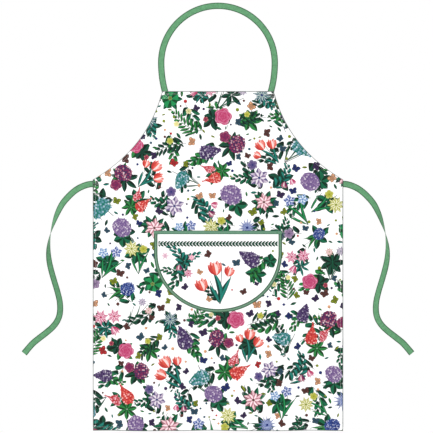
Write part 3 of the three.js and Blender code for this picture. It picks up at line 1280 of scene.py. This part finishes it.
def pocket_print() -> list[Element]:
    """The pocket's own print, laid out about the middle of its mouth.

    Returns:
        The elements, in metres on the flat cloth.
    """
    parts = [
        under(Leaf.SPRIG, -110, -112, 155, 38, 0.42, -0.6, Dye.FOREST),
        under(Leaf.ROSETTE, -84, -74, 15, 27, 7, 0.22, Dye.PINE),
        under(Leaf.ROSETTE, 96, -106, 20, 32, 6, 0.26, Dye.FOREST),
        under(Leaf.SPRIG, -18, -156, 47, 32, 0.42, 0.2, Dye.PINE),
        leaf(Leaf.SPRIG, -104, -76, 24, 42, 0.36, 0.8, Dye.TEAL),
        leaf(Leaf.SPRIG, -64, -72, -62, 29, 0.42, -0.5, Dye.TEAL),
        leaf(Leaf.SPRIG, -122, -104, 70, 26, 0.44, 0.5, Dye.FOREST),
        bloom(Bloom.TULIP, -97, -92, 176, 10, 0.32, 0, Dye.MAGENTA, Dye.PLUM),
        bloom(Bloom.POINTED, -74, -106, 10, 13, 7, 0.13, Dye.PINK, Dye.MAGENTA),
        bloom(Bloom.POINTED, -132, -62, 30, 11, 6, 0.12, Dye.BLUSH, Dye.MAUVE),
        bloom(Bloom.POINTED, -66, -66, 0, 10, 6, 0.15, Dye.BLUSH, Dye.PINK),
        leaf(Leaf.BLADES, 5, -138, 0, 45, 0.14, 0, Dye.TEAL),
        bloom(Bloom.TULIP, -7, -93, 12, 22, 0.36, 0, Dye.CORAL, Dye.RED),
        bloom(Bloom.TULIP, 28, -101, -18, 16, 0.36, 0, Dye.CORAL, Dye.RED),
        bloom(Bloom.TULIP, -41, -135, 24, 20, 0.36, 0, Dye.CORAL, Dye.RED),
        leaf(Leaf.SPRIG, 102, -97, 150, 36, 0.46, 0.5, Dye.MOSS),
        leaf(Leaf.ROSETTE, 130, -76, 60, 22, 5, 0.42, Dye.FOREST),
        bloom(Bloom.CLUSTER, 77, -67, 58, 32, 6.0, 1.0, Dye.PURPLE, Dye.PLUM),
        small(Small.BUTTERFLY, -24, -58, 62, 11, Dye.BROWN),
        small(Small.BUTTERFLY, 46, -80, 8, 12, Dye.SLATE),
        small(Small.BUTTERFLY, -46, -103, -30, 9, Dye.SAND),
        small(Small.BUTTERFLY, -82, -140, 48, 10, Dye.PLUM),
        small(Small.BUTTERFLY, -23, -171, -35, 9, Dye.SAND),
        small(Small.BUTTERFLY, 64, -152, 28, 10, Dye.BROWN),
        small(Small.BUD, 35, -147, 40, 5, Dye.RED),
        small(Small.LEAFLET, 14, -84, 60, 7, Dye.SLATE),
        small(Small.BUD, 137, -50, -30, 6, Dye.OLIVE),
        small(Small.BUTTERFLY, 96, -132, -20, 7, Dye.PLUM),
    ]
    return [part.placed(0.0, CUT.pocket_top, 0.0, 1) for part in parts]


# How far past its own circle a face may still take an element, the batches that keep memory small, and
# how many seeds the elements share
REACH = 3 * MM
BATCHES = 60
SEEDS = 37


def dye(piece: Piece, elements: Sequence[Element], edge: Array | None = None) -> None:
    """Hands each face of a cloth the printed elements that fall on it.

    Args:
        piece: The cloth, with its map named flat.
        elements: The print.
        edge: Distance from the cloth's edge to each vertex, in metres, which sets the painted edge shade.
    """
    mesh = piece.data
    corners, faces = len(mesh.loops), len(mesh.polygons)
    flat = np.zeros(corners * 2, np.float32)
    mesh.uv_layers["flat"].data.foreach_get("uv", flat)
    flat = flat.reshape(-1, 2).astype(float)
    owner = np.repeat(np.arange(faces), 4)
    middle = flat.reshape(faces, 4, 2).mean(axis=1)
    for layer in Layer:
        own = [part for part in elements if part.layer is layer]
        at = np.array([(part.x, part.z) for part in own])
        size = np.array([part.size for part in own])
        batches = np.array_split(middle, BATCHES)
        spans = [np.linalg.norm(some[:, None] - at[None], axis=2) / size for some in batches]
        chosen = np.concatenate([far.argmin(axis=1) for far in spans])
        near = np.concatenate([far.min(axis=1) for far in spans]) - 1 < REACH / size[chosen]
        turn = np.radians([part.turn for part in own])[chosen][owner]
        away = (flat - at[chosen][owner]) / size[chosen][owner][:, None]
        seed = (chosen % SEEDS) / SEEDS
        c, s = np.cos(turn), np.sin(turn)
        local = columns(away[:, 0] * c + away[:, 1] * s, away[:, 1] * c - away[:, 0] * s, seed[owner])
        shape = np.array([(float(part.kind), part.first, part.second) for part in own])[chosen]
        shape[:, 0] *= near
        store(mesh, f"{layer.value}_at", "CORNER", local)
        store(mesh, f"{layer.value}_shape", "FACE", shape)
        store(mesh, f"{layer.value}_tint", "FACE", np.array([part.tint for part in own])[chosen])
        if layer is Layer.BLOOM:
            store(mesh, "bloom_core", "FACE", np.array([part.core for part in own])[chosen])
    # Without an edge distance the cloth gets no painted edge shade
    edge = np.full(len(mesh.vertices), 1.0) if edge is None else edge
    mesh.attributes.new("edge", "FLOAT", "POINT").data.foreach_set("value", edge.astype(np.float32))


def store(mesh: bpy.types.Mesh, name: str, domain: str, values: Array) -> None:
    """Keeps one vector for each corner or face of a mesh."""
    layer = mesh.attributes.new(name, "FLOAT_VECTOR", domain)
    layer.data.foreach_set("vector", np.ascontiguousarray(values, np.float32).ravel())


# ---- sewing

# The stitch length where rows are set close, and the share of a stitch's length that its thread shows
TIGHT = 2.6 * MM
STITCH_SHARE = 0.72


def sewn(
    name: str, rows: Sequence[tuple[Route, Level]], material: Material,
    pitch: float = 3.0 * MM, thick: float = 0.45 * MM,
) -> Piece:
    """Rows of machine stitches.

    Args:
        name: The piece's name.
        rows: Each row's line, and the function that gives Y for an array of places on it.
        material: The thread.
        pitch: The stitch length and the gap after it.
        thick: The thread's thickness.

    Returns:
        The piece that holds all the stitches.
    """
    bm = bmesh.new()
    bmesh.ops.create_uvsphere(bm, u_segments=6, v_segments=4, radius=0.5)
    one = bpy.data.meshes.new(f"{name}_one")
    bm.to_mesh(one)
    bm.clear()
    for line, level in rows:
        count = max(1, round(line.length / pitch))
        share = (np.arange(count) + 0.5) / count
        spots, ways = line.at(share), line.along(share)
        for (x, z), (dx, dz), y in zip(spots, ways, level(spots)):
            turn = Matrix.Rotation(-math.atan2(dz, dx), 4, "Y")
            size = Matrix.Diagonal((pitch * STITCH_SHARE, thick, thick * 1.15, 1.0))
            place = Matrix.Translation((x, y, z)) @ turn @ size
            one.transform(place)
            bm.from_mesh(one)
            one.transform(place.inverted())
    mesh = bpy.data.meshes.new(name)
    bm.to_mesh(mesh)
    bm.free()
    bpy.data.meshes.remove(one)
    mesh.polygons.foreach_set("use_smooth", [True] * len(mesh.polygons))
    return dress(added(name, mesh), "thread", material)


def on_front(depth: float = 0.0) -> Level:
    """The level of stitches that lie on the cloth's face, raised by depth."""
    return lambda spots: CUT.front - 0.12 * MM - depth + DRAPE.offset(spots[:, 0], spots[:, 1])


def on_back(depth: float = 0.0) -> Level:
    """The level of stitches that lie on the hems behind the cloth, raised by depth."""
    return lambda spots: 0.12 * MM + depth + DRAPE.offset(spots[:, 0], spots[:, 1])


def line_of(x: Iterable[float], z: Iterable[float]) -> Route:
    """A line from its places across and heights."""
    return Route(columns(np.asarray(x, float), np.asarray(z, float)))


# ---- sub-assemblies


@dataclass(frozen=True)
class Finishes:
    """Every material, built once."""

    printed: Material
    reverse: Material
    pocket: Material
    tape: Material
    edge_binding: Material
    mouth_binding: Material
    white_thread: Material
    green_thread: Material

    @classmethod
    def build(cls) -> "Finishes":
        """Builds the materials.

        Returns:
            The materials.
        """
        mouth, mouth_dye, mouth_deep = CUT.mouth_binding, linear(99, 138, 114), linear(66, 108, 86)
        printed = PrintedCloth().build()
        return cls(
            printed=printed,
            reverse=PrintedCloth.variant(printed, "printed_cotton_reverse", ink=0.3),
            pocket=PrintedCloth.variant(printed, "pocket_cotton", border=1.0),
            tape=GreenTape("green_tape", CUT.tape_width).build(),
            edge_binding=Binding("edge_binding", CUT.pocket_binding).build(),
            mouth_binding=Binding("mouth_binding", mouth, mouth_dye, mouth_deep, 1.4 * MM).build(),
            white_thread=Thread("white_thread", linear(246, 246, 244)).build(),
            green_thread=Thread("green_thread", linear(58, 120, 78)).build(),
        )


def tape_strip(
    name: str, line: Route, steps: int, level: Place, turn: Level,
    span: tuple[float, float] = (0.0, 1.0), width: float = CUT.tape_width,
) -> Piece:
    """A flat tape that follows a line and may twist about it.

    Args:
        name: The piece's name.
        line: Its middle line in the x, z plane.
        steps: How many steps it has along.
        level: Gives Y for arrays of x and z.
        turn: Gives the twist, in radians, for an array of shares of the line.
        span: The shares of the line that the strip starts and ends at.
        width: The tape's width.

    Returns:
        The strip, without its thickness.
    """
    def place(s: Array, q: Array) -> Array:
        """The strip's points.

        Args:
            s: Places across, from -1 to 1.
            q: Places along, from 0 to 1.

        Returns:
            The points.
        """
        share = span[0] + q * (span[1] - span[0])
        spot, way = line.at(share), line.along(share)
        lean = turn(share)
        out = s * width / 2
        x = spot[:, 0] - way[:, 1] * out * np.cos(lean)
        z = spot[:, 1] + way[:, 0] * out * np.cos(lean)
        return columns(x, level(spot[:, 0], spot[:, 1]) + out * np.sin(lean), z)

    return grid_piece(
        name, 6, steps, place,
        lambda s, q: columns(s * width / 2, (span[0] + q * (span[1] - span[0])) * line.length),
    )


def eased(values: Array, low: float, high: float) -> Array:
    """The share of the way from low to high, easing in and out."""
    share = np.clip((values - low) / (high - low), 0, 1)
    return share * share * (3 - 2 * share)


@dataclass(frozen=True)
class Tie:
    """One waist tie: a tape sewn behind the side edge, with a half turn and a hemmed end."""

    side: str
    first_turn: tuple[float, float] = (0.1, 0.52)
    last_turn: tuple[float, float] = (0.6, 0.97)
    first_share: float = 0.8
    steps: int = 180
    end_hem: float = 9 * MM
    hem_end: float = 1.0005
    hem_wider: float = 0.3 * MM
    hem_thick: float = 2.1 * MM
    hem_edge: float = 0.5 * MM
    sewn_z: float = -438 * MM
    sewn_low: float = -460 * MM
    rise: float = 9 * MM

    @property
    def sign(self) -> int:
        """1 on the right, -1 on the left."""
        return 1 if self.side == "right" else -1

    def build(self, finishes: Finishes) -> list[Piece]:
        """Args:
            finishes: Every material.

        Returns:
            The tape and its end hem.
        """
        sign, body = self.sign, f"{self.side}_tie"
        root = CUT.skirt_half - CUT.sewn_length
        middle = (root + CUT.skirt_half) / 2 + 3 * MM
        knots = [(root, self.sewn_z), (middle, self.sewn_z), *TIE_ROUTE]
        line = Route.through([(x * sign, z) for x, z in knots])
        lead = TIE_ROUTE[0][0] - root
        free = line.length - lead

        def level(x: Array, z: Array) -> Array:
            """Y along the tape: behind the cloth where it is sewn, then in the middle plane."""
            sewn = 1 - eased(np.abs(x), CUT.skirt_half, CUT.skirt_half + self.rise)
            return CUT.sewn_y * sewn * (z > self.sewn_low) + DRAPE.offset(x, z)

        def turn(share: Array) -> Array:
            """The half turn: most of it high up, and the rest toward the end.

            Args:
                share: Shares of the whole line.

            Returns:
                The twist, in radians.
            """
            t = (share * line.length - lead) / free
            first, last = eased(t, *self.first_turn), eased(t, *self.last_turn)
            return sign * math.pi * (self.first_share * first + (1 - self.first_share) * last)

        tape = tape_strip(f"{body}_tape", line, self.steps, level, turn)
        dress(tape, "tape", finishes.tape, thick=CUT.tape_thick, offset=0.0, edge=CUT.tape_edge)
        span = 1 - self.end_hem / line.length, self.hem_end
        hem = tape_strip(f"{body}_hem", line, 6, level, turn, span, CUT.tape_width + self.hem_wider)
        dress(hem, "tape", finishes.tape, thick=self.hem_thick, offset=0.0, edge=self.hem_edge)
        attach(hem, body)
        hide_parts(body, f"{body}_end")
        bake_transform(tape)
        share = np.linspace(0, 1, 60)
        spots = line.at(share)
        path = columns(spots[:, 0], level(spots[:, 0], spots[:, 1]), spots[:, 1])
        LOG.info("%s: %.3f m long", tape.name, line.length)
        return [tape, hem]


@dataclass(frozen=True)
class NeckStrap:
    """The neck strap: one tape in a round arch, its ends sewn behind the bib's top corners."""

    steps: int = 220

    def line(self) -> Route:
        """The strap's middle line, from the left end up and over to the right end.

        Returns:
            The line.
        """
        radius, drop, crest = CUT.arch_radius, CUT.leg_drop, CUT.tape_width / 2
        meet = math.asin((-CUT.bib_top - radius + crest) / drop)
        low = np.linspace(meet, 0, 14)[:-1]
        top = np.linspace(0, math.pi / 2, 26)
        x = radius * np.cos(np.concatenate([low, top]))
        z = crest - radius + np.concatenate([-drop * np.sin(low), radius * np.sin(top)])
        fall = np.array([-radius * math.sin(meet), -drop * math.cos(meet)])
        start = np.array([x[0], z[0]]) + fall / np.linalg.norm(fall) * CUT.sewn_length
        right = np.vstack([start, columns(x, z)])
        return Route(np.vstack([right * (-1, 1), right[-2::-1]]))

    @staticmethod
    def level(x: Array, z: Array) -> Array:
        """Y along the strap: behind the bib where it is sewn, then in the middle plane."""
        return CUT.sewn_y * (1 - eased(z, CUT.bib_top + 1 * MM, CUT.bib_top + 14 * MM)) + 0 * x

    def build(self, finishes: Finishes) -> Piece:
        """Builds the strap, bent between itself and the bib where it meets the top hem.

        Args:
            finishes: Every material.

        Returns:
            The strap.
        """
        strap = tape_strip("neck_strap_tape", self.line(), self.steps, self.level, lambda share: 0 * share)
        dress(strap, "tape", finishes.tape, thick=CUT.tape_thick, offset=0.0, edge=CUT.tape_edge)
        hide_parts("neck_strap", "left_strap_end", "right_strap_end")
        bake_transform(strap)
        return strap


@dataclass(frozen=True)
class Body:
    """The apron's printed cloth with its turned hems and their stitching."""

    across: int = 150
    bib_rows: int = 52
    rows: int = 202
    turn_room: float = 0.5 * MM
    roll: float = 0.14
    hem_thick: float = 0.35 * MM
    hem_step: float = 4 * MM
    hem_seam: float = 1.5 * MM
    armhole_sunk: float = 0.12 * MM
    armhole_slant: float = 0.85
    blend_top: float = -411 * MM
    blend_low: float = -432 * MM

    def cloth(self, finishes: Finishes, elements: Sequence[Element]) -> Piece:
        """The body cloth, in one piece from the bib's top to the bottom hem.

        Args:
            finishes: Every material.
            elements: The print.

        Returns:
            The cloth.
        """
        def place(s: Array, q: Array) -> Array:
            """The cloth's points, hanging a little out of flat.

            Args:
                s: Places across, from -1 to 1.
                q: Places along, from 0 to 1.

            Returns:
                The points.
            """
            z = np.interp(q, [0, self.bib_rows / self.rows, 1], [CUT.bib_top, CUT.waist, CUT.hem_bottom])
            x = s * CUT.half_width(z)
            return columns(x, CUT.front + DRAPE.offset(x, z), z)

        cloth = grid_piece("apron_cloth", self.across, self.rows, place)
        x, _, z = vertices(cloth.data)
        # Distance from the cloth's outline, taken square to the slanting armholes, which sets the painted
        # edge shade
        slant = np.where(z > CUT.waist + 1 * MM, self.armhole_slant, 1.0)
        side = (CUT.half_width(z) - np.abs(x)) * slant
        dye(cloth, elements, np.minimum(side, np.minimum(z - CUT.hem_bottom, CUT.bib_top - z)))
        dress(cloth, "printed_cloth", finishes.printed, finishes.reverse, thick=CUT.cloth_thick)
        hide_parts("bib_panel", "skirt_panel")
        self.bend(cloth)
        return cloth

    def bend(self, piece: Piece) -> None:
        """Bakes the place of a piece that crosses the waist into its mesh."""
        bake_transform(piece)

    def edges(self) -> dict[str, tuple[Route, float, str, str]]:
        """What each hem is made from, by name.

        Returns:
            For each name the outer line, the width, the body that the hem rides on, empty where it meets
            the waist, and the node that it replaces.
        """
        z = np.linspace(CUT.bib_top - CUT.hem, CUT.waist, 40)
        right = line_of(CUT.half_width(z), z)
        half, low, top = CUT.skirt_half, CUT.hem_bottom, CUT.bib_top
        side = line_of([half, half], [CUT.waist, low + CUT.bottom_hem])
        back = slice(None, None, -1)
        return {
            "bib_top": (line_of([-CUT.bib_half, CUT.bib_half], [top, top]), CUT.hem, "bib", "bib_top_hem"),
            "right_armhole": (right, CUT.hem, "", "right_armhole_hem"),
            "left_armhole": (Route(right.mirrored().points[back]), CUT.hem, "", "left_armhole_hem"),
            "right_side": (side, CUT.hem, "", "right_side_hem"),
            "left_side": (Route(side.mirrored().points[back]), CUT.hem, "", "left_side_hem"),
            "bottom": (line_of([half, -half], [low, low]), CUT.bottom_hem, "skirt", "bottom_hem"),
        }

    def fold(
        self, name: str, line: Route, width: float, elements: Sequence[Element], material: Material
    ) -> Piece:
        """A hem: the cloth rolled round its edge and laid flat behind itself, print outwards.

        Args:
            name: The piece's name.
            line: The edge, clockwise as seen from the front.
            width: The hem's width.
            elements: The print.
            material: The printed cloth.

        Returns:
            The hem.
        """
        roll, sunk = self.roll, self.armhole_sunk if "armhole" in name else 0.0

        def across(s: Array, q: Array) -> tuple[Array, ...]:
            """The edge's places, its inward directions, the way in from the edge and the level.

            Args:
                s: Places across, from -1 to 1.
                q: Places along, from 0 to 1.

            Returns:
                The places on the edge, the inward directions, the distances in and the levels.
            """
            t = (s + 1) / 2
            spot, way = line.at(q), line.along(q)
            angle = np.clip(t / roll, 0, 1) * math.pi - math.pi / 2
            far = np.clip((t - roll) / (1 - roll), 0, 1) * width - self.turn_room * np.cos(angle)
            y = CUT.front * (1 - np.sin(angle)) / 2 - sunk * (np.sin(angle) + 1) / 2
            return spot, columns(way[:, 1], -way[:, 0]), far, y

        def place(s: Array, q: Array) -> Array:
            """The hem's points.

            Args:
                s: Places across, from -1 to 1.
                q: Places along, from 0 to 1.

            Returns:
                The points.
            """
            spot, inward, far, y = across(s, q)
            x, z = (spot + inward * far[:, None]).T
            return columns(x, y + DRAPE.offset(x, z), z)

        def flat(s: Array, q: Array) -> Array:
            """Places on the cloth as it lay before it was turned."""
            spot, inward, far, _ = across(s, q)
            return spot - inward * far[:, None]

        piece = grid_piece(name, 12, max(24, round(line.length / self.hem_step)), place, flat)
        x, y, z = vertices(piece.data)
        # The roll's front half gets an edge distance of 0, so it takes the painted edge shade in full
        dye(piece, elements, np.where(y - DRAPE.offset(x, z) < CUT.front / 3, 0.0, 1.0))
        return dress(piece, "printed_cloth", material, thick=self.hem_thick)

    def build(self, finishes: Finishes, elements: Sequence[Element], strap: Piece) -> None:
        """Args:
            finishes: Every material.
            elements: The print.
            strap: Not used.
        """
        cloth = self.cloth(finishes, elements)
        for name, (line, width, body, node) in self.edges().items():
            hem = self.fold(f"{name}_fold", line, width, elements, finishes.printed)
            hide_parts(node)
            share = np.linspace(0, 1, 60)
            spot, way = line.at(share), line.along(share)
            seam = Route(spot + columns(way[:, 1], -way[:, 0]) * (width - self.hem_seam))
            rows = [(seam, on_front()), (seam, on_back())]
            thread = sewn(f"{name}_stitches", rows, finishes.white_thread)
            for piece in (hem, thread):
                if body:
                    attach(piece, body)
                else:
                    self.bend(piece)


@dataclass(frozen=True)
class Pocket:
    """The D-shaped patch pocket: its own printed cloth, bound all round, with bar tacks at the mouth."""

    cloth_thick: float = 0.55 * MM
    seat: float = 0.65 * MM
    gape: float = 5.2 * MM
    band_thick: float = 0.3 * MM
    band_section: tuple[tuple[float, ...], ...] = (
        (0, 0.02, 0.07, 0.2, 0.5, 0.8, 0.95, 1), (0, 0.7, 1.15, 1.3, 1.4, 1.3, 1.2, 0.7)
    )
    across: int = 76
    down: int = 52
    mouth_fold: float = 0.1
    seam: float = 1.7 * MM
    tack_passes: int = 16

    def surface(self, x: Array, z: Array) -> Array:
        """Y of the pocket cloth's face, which stands away from the body most at the mouth's middle.

        Args:
            x: Places across the apron, in metres.
            z: Heights, in metres.

        Returns:
            The levels.
        """
        down = (CUT.pocket_top - z) / (CUT.pocket_top - CUT.pocket_low)
        wide = np.clip(1 - (x / (CUT.pocket_half - CUT.pocket_binding)) ** 2, 0, 1) ** 1.3
        bulge = self.gape * wide * np.clip(1 - down * 1.12, 0, 1) ** 1.4
        return CUT.front - self.seat - bulge + DRAPE.offset(x, z)

    def cloth(self, finishes: Finishes) -> Piece:
        """The pocket's cloth.

        Args:
            finishes: Every material.

        Returns:
            The cloth.
        """
        inset = 1.2 * MM

        def place(s: Array, q: Array) -> Array:
            """The cloth's points, in columns down from the mouth.

            Args:
                s: Places across, from -1 to 1.
                q: Places along, from 0 to 1.

            Returns:
                The points.
            """
            x = (CUT.pocket_half - inset) * np.sin(s * math.pi / 2)
            z = CUT.pocket_top - 0.4 * MM - q * CUT.pocket_depth(x, inset)
            return columns(x, self.surface(x, z), z)

        cloth = grid_piece("pocket_cloth", self.across, self.down, place)
        dye(cloth, pocket_print())
        dress(cloth, "pocket_cloth", finishes.pocket, finishes.reverse, thick=self.cloth_thick)
        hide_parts("pocket_panel")
        return cloth

    def outline(self, inset: float = 0.0) -> Route:
        """The pocket's edge, down the left side, round and up the right side.

        Args:
            inset: How far inside the edge the line runs.

        Returns:
            The line.
        """
        half, top = CUT.pocket_half - inset, CUT.pocket_top - 1 * MM
        x = half * -np.cos(np.linspace(0, math.pi, 90))
        z = CUT.pocket_top - CUT.pocket_depth(x, inset)
        return line_of([-half, *x, half], [top, *z, top])

    def edge_band(self, finishes: Finishes) -> Piece:
        """The binding round the curve, turned over the pocket's edge and domed a little.

        Args:
            finishes: Every material.

        Returns:
            The band.
        """
        line = self.outline()
        width = CUT.pocket_binding

        def place(s: Array, q: Array) -> Array:
            """The band's points.

            Args:
                s: Places across, from -1 to 1.
                q: Places along, from 0 to 1.

            Returns:
                The points.
            """
            t = (s + 1) / 2
            spot, way = line.at(q), line.along(q)
            x, z = (spot + columns(-way[:, 1], way[:, 0]) * (t * width)[:, None]).T
            stand = np.interp(t, *self.band_section) * MM
            return columns(x, CUT.front - stand + DRAPE.offset(x, z), z)

        def flat(s: Array, q: Array) -> Array:
            """Places across and along the band."""
            return columns(s * width / 2, q * line.length)

        band = grid_piece("pocket_edge_band", 24, 200, place, flat)
        dress(band, "binding", finishes.edge_binding, thick=self.band_thick)
        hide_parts("pocket_curve_binding")
        return band

    def mouth_band(self, finishes: Finishes) -> Piece:
        """The binding folded over the mouth, front leg, fold and back leg in one strip.

        Args:
            finishes: Every material.

        Returns:
            The band.
        """
        width, half, top, fold = CUT.mouth_binding, CUT.pocket_half, CUT.pocket_top, self.mouth_fold

        def place(s: Array, q: Array) -> Array:
            """The band's points, from the front leg's foot over the fold to the back leg's foot.

            Args:
                s: Places across, from -1 to 1.
                q: Places along, from 0 to 1.

            Returns:
                The points.
            """
            x = (q * 2 - 1) * half
            t = -s
            front, back = (np.clip((leg - fold) / (1 - fold), 0, 1) for leg in (t, -t))
            z = top - (front + back) * width
            face = self.surface(x, np.minimum(z, top))
            corner = eased(np.abs(x), half - 15 * MM, half - 8 * MM)
            near = face - 0.5 * MM - 0.75 * MM * corner
            skirt = CUT.front - 0.08 * MM + DRAPE.offset(x, z)
            far = np.minimum(face + self.cloth_thick + 0.45 * MM, skirt)
            bend = np.clip(t / fold, -1, 1)
            middle, reach = (near + far) / 2, (far - near) / 2
            y = middle - reach * np.sin(bend * math.pi / 2)
            z = z + np.cos(bend * math.pi / 2) * 0.7 * MM
            return columns(x, y, z)

        def flat(s: Array, q: Array) -> Array:
            """Places across the front leg, whose middle is 0, and along the band."""
            return columns((np.abs(s) - 0.5) * width, q * 2 * half)

        band = grid_piece("pocket_mouth_band", 48, 160, place, flat)
        dress(band, "binding", finishes.mouth_binding, thick=self.band_thick)
        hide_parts("pocket_mouth_binding")
        return band

    def stitching(self, finishes: Finishes) -> list[Piece]:
        """Two rows round the curve, one along the mouth, and the bar tacks.

        Args:
            finishes: Every material.

        Returns:
            The pieces of thread.
        """
        insets = self.seam, CUT.pocket_binding - self.seam
        rows = [(self.outline(inset), on_front(1.25 * MM)) for inset in insets]
        curve = sewn("pocket_edge_stitches", rows, finishes.green_thread)
        x = np.linspace(-CUT.pocket_half + 10 * MM, CUT.pocket_half - 10 * MM, 80)
        seam = line_of(x, np.full(80, CUT.pocket_top - CUT.mouth_binding + 1.4 * MM))

        def on_band(spots: Array) -> Array:
            """The mouth binding's level."""
            return self.surface(spots[:, 0], spots[:, 1]) - 0.55 * MM

        def on_bar(spots: Array) -> Array:
            """The bar tacks' level."""
            return np.full(len(spots), CUT.front - 2.1 * MM)

        mouth = sewn("pocket_mouth_stitches", [(seam, on_band)], finishes.green_thread)
        pieces = [curve, mouth]
        for side in ("left", "right"):
            low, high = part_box(f"{side}_pocket_tack")
            passes = np.linspace(low.x, high.x, self.tack_passes)
            rows = [(line_of([x, x], [low.z, high.z]), on_bar) for x in passes]
            tack = sewn(f"{side}_bar_tack", rows, finishes.green_thread, TIGHT, 0.6 * MM)
            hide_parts(f"{side}_pocket_tack")
            pieces.append(tack)
        return pieces

    def build(self, finishes: Finishes) -> None:
        """Builds the pocket and attaches its pieces to the skirt.

        Args:
            finishes: Every material.
        """
        cloth = self.cloth(finishes)
        bands = [self.edge_band(finishes), self.mouth_band(finishes)]
        threads = self.stitching(finishes)
        for piece in (cloth, *bands, *threads):
            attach(piece, "skirt")


def box_stitches(finishes: Finishes) -> None:
    """The small crossed squares that hold the strap's and the ties' sewn ends.

    Args:
        finishes: Every material.
    """
    half = 5.2 * MM
    for name, body in (("strap", "bib"), ("tie", "skirt")):
        for side in ("left", "right"):
            low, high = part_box(f"{side}_{name}_stitching")
            x, z = (low.x + high.x) / 2, (low.z + high.z) / 2
            corners = [(x + half * a, z + half * b) for a, b in ((-1, -1), (1, -1), (1, 1), (-1, 1))]
            lines = [Route([a, b]) for a, b in zip(corners, corners[1:] + corners[:1])]
            lines += [Route([corners[0], corners[2]]), Route([corners[1], corners[3]])]
            rows = [(line, on_front()) for line in lines]
            rows += [(line, on_back(CUT.sewn_y + CUT.tape_thick / 2)) for line in lines]
            piece = sewn(f"{side}_{name}_box_stitches", rows, finishes.white_thread, TIGHT)
            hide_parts(f"{side}_{name}_stitching")
            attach(piece, body)


# ---- the studio


@dataclass(frozen=True)
class Studio:
    """The camera, the lights, the white surroundings and the floor."""

    distance: float = 3.007
    lens: float = 100.0
    middle: tuple[float, float] = (-0.00375, -0.51875)
    floor_z: float = -1.45
    glow: float = 0.66

    def camera(self) -> None:
        """A long lens square to the apron."""
        data = bpy.data.cameras.new("camera")
        data.lens = self.lens
        data.sensor_width = 36.0
        data.clip_end = 50.0
        camera = added("camera", data)
        camera.location = (self.middle[0], -self.distance, self.middle[1])
        camera.rotation_euler = (math.pi / 2, 0.0, 0.0)
        bpy.context.scene.camera = camera

    def light(self, name: str, place: tuple[float, float, float], size: float, power: float) -> None:
        """A soft square light that faces the apron's middle.

        Args:
            name: Its name.
            place: Where it stands.
            size: Its side, in metres.
            power: Its power, in watts.
        """
        data = bpy.data.lights.new(name, "AREA")
        data.size = size
        data.energy = power
        lamp = added(name, data)
        lamp.location = place
        aim = Vector((0.0, 0.0, self.middle[1])) - Vector(place)
        lamp.rotation_euler = aim.to_track_quat("-Z", "Y").to_euler()

    def surroundings(self) -> None:
        """Plain white all round, and a pale floor under the apron."""
        world = bpy.data.worlds.new("white")
        world.use_nodes = True
        nodes, links = world.node_tree.nodes, world.node_tree.links
        nodes["Background"].inputs["Color"].default_value = (1.0, 1.0, 1.0, 1.0)
        seen = nodes.new("ShaderNodeLightPath")
        strength = nodes.new("ShaderNodeMix")
        strength.inputs["A"].default_value = self.glow
        strength.inputs["B"].default_value = 1.0
        links.new(seen.outputs["Is Camera Ray"], strength.inputs["Factor"])
        links.new(strength.outputs["Result"], nodes["Background"].inputs["Strength"])
        bpy.context.scene.world = world
        bpy.context.scene.view_settings.view_transform = "Standard"
        bm = bmesh.new()
        bmesh.ops.create_circle(bm, cap_ends=True, segments=96, radius=2.0)
        bmesh.ops.translate(bm, vec=(0, 0, self.floor_z), verts=bm.verts)
        mesh = bpy.data.meshes.new("floor")
        bm.to_mesh(mesh)
        bm.free()
        floor = added("floor", mesh)
        tree = Tree("pale_floor")
        place = tree.node("ShaderNodeTexCoord", None, (), "Object")
        grain = tree.noise(place, 60.0)
        pale = tree.mix((0.86,) * 3, (0.9,) * 3, grain)
        floor.data.materials.append(tree.cloth(pale, grain, 0.1 * MM))

    def build(self) -> None:
        """Sets the studio up."""
        self.camera()
        self.light("key", (-1.9, -2.3, 0.9), 1.2, 66.0)
        self.light("fill", (1.9, -2.4, -0.3), 1.8, 22.0)
        self.light("back", (1.2, 2.4, 0.5), 1.4, 50.0)
        self.surroundings()


def main() -> None:
    """Builds the studio and the apron, the cords first."""
    logging.basicConfig(level=logging.INFO, format="%(name)s: %(message)s")
    Studio().build()
    finishes = Finishes.build()
    for side in ("left", "right"):
        Tie(side).build(finishes)
    strap = NeckStrap().build(finishes)
    low, high = Vector((-0.36, 0, -1.1)), Vector((0.36, 0, -0.17))
    repeat = Repeat()
    motifs = repeat.motifs(low, high)
    elements = motifs + repeat.fillers(motifs, low, high)
    LOG.info("print: %d elements", len(elements))
    Body().build(finishes, elements, strap)
    Pocket().build(finishes)
    box_stitches(finishes)


if __name__ == "__main__":
    main()
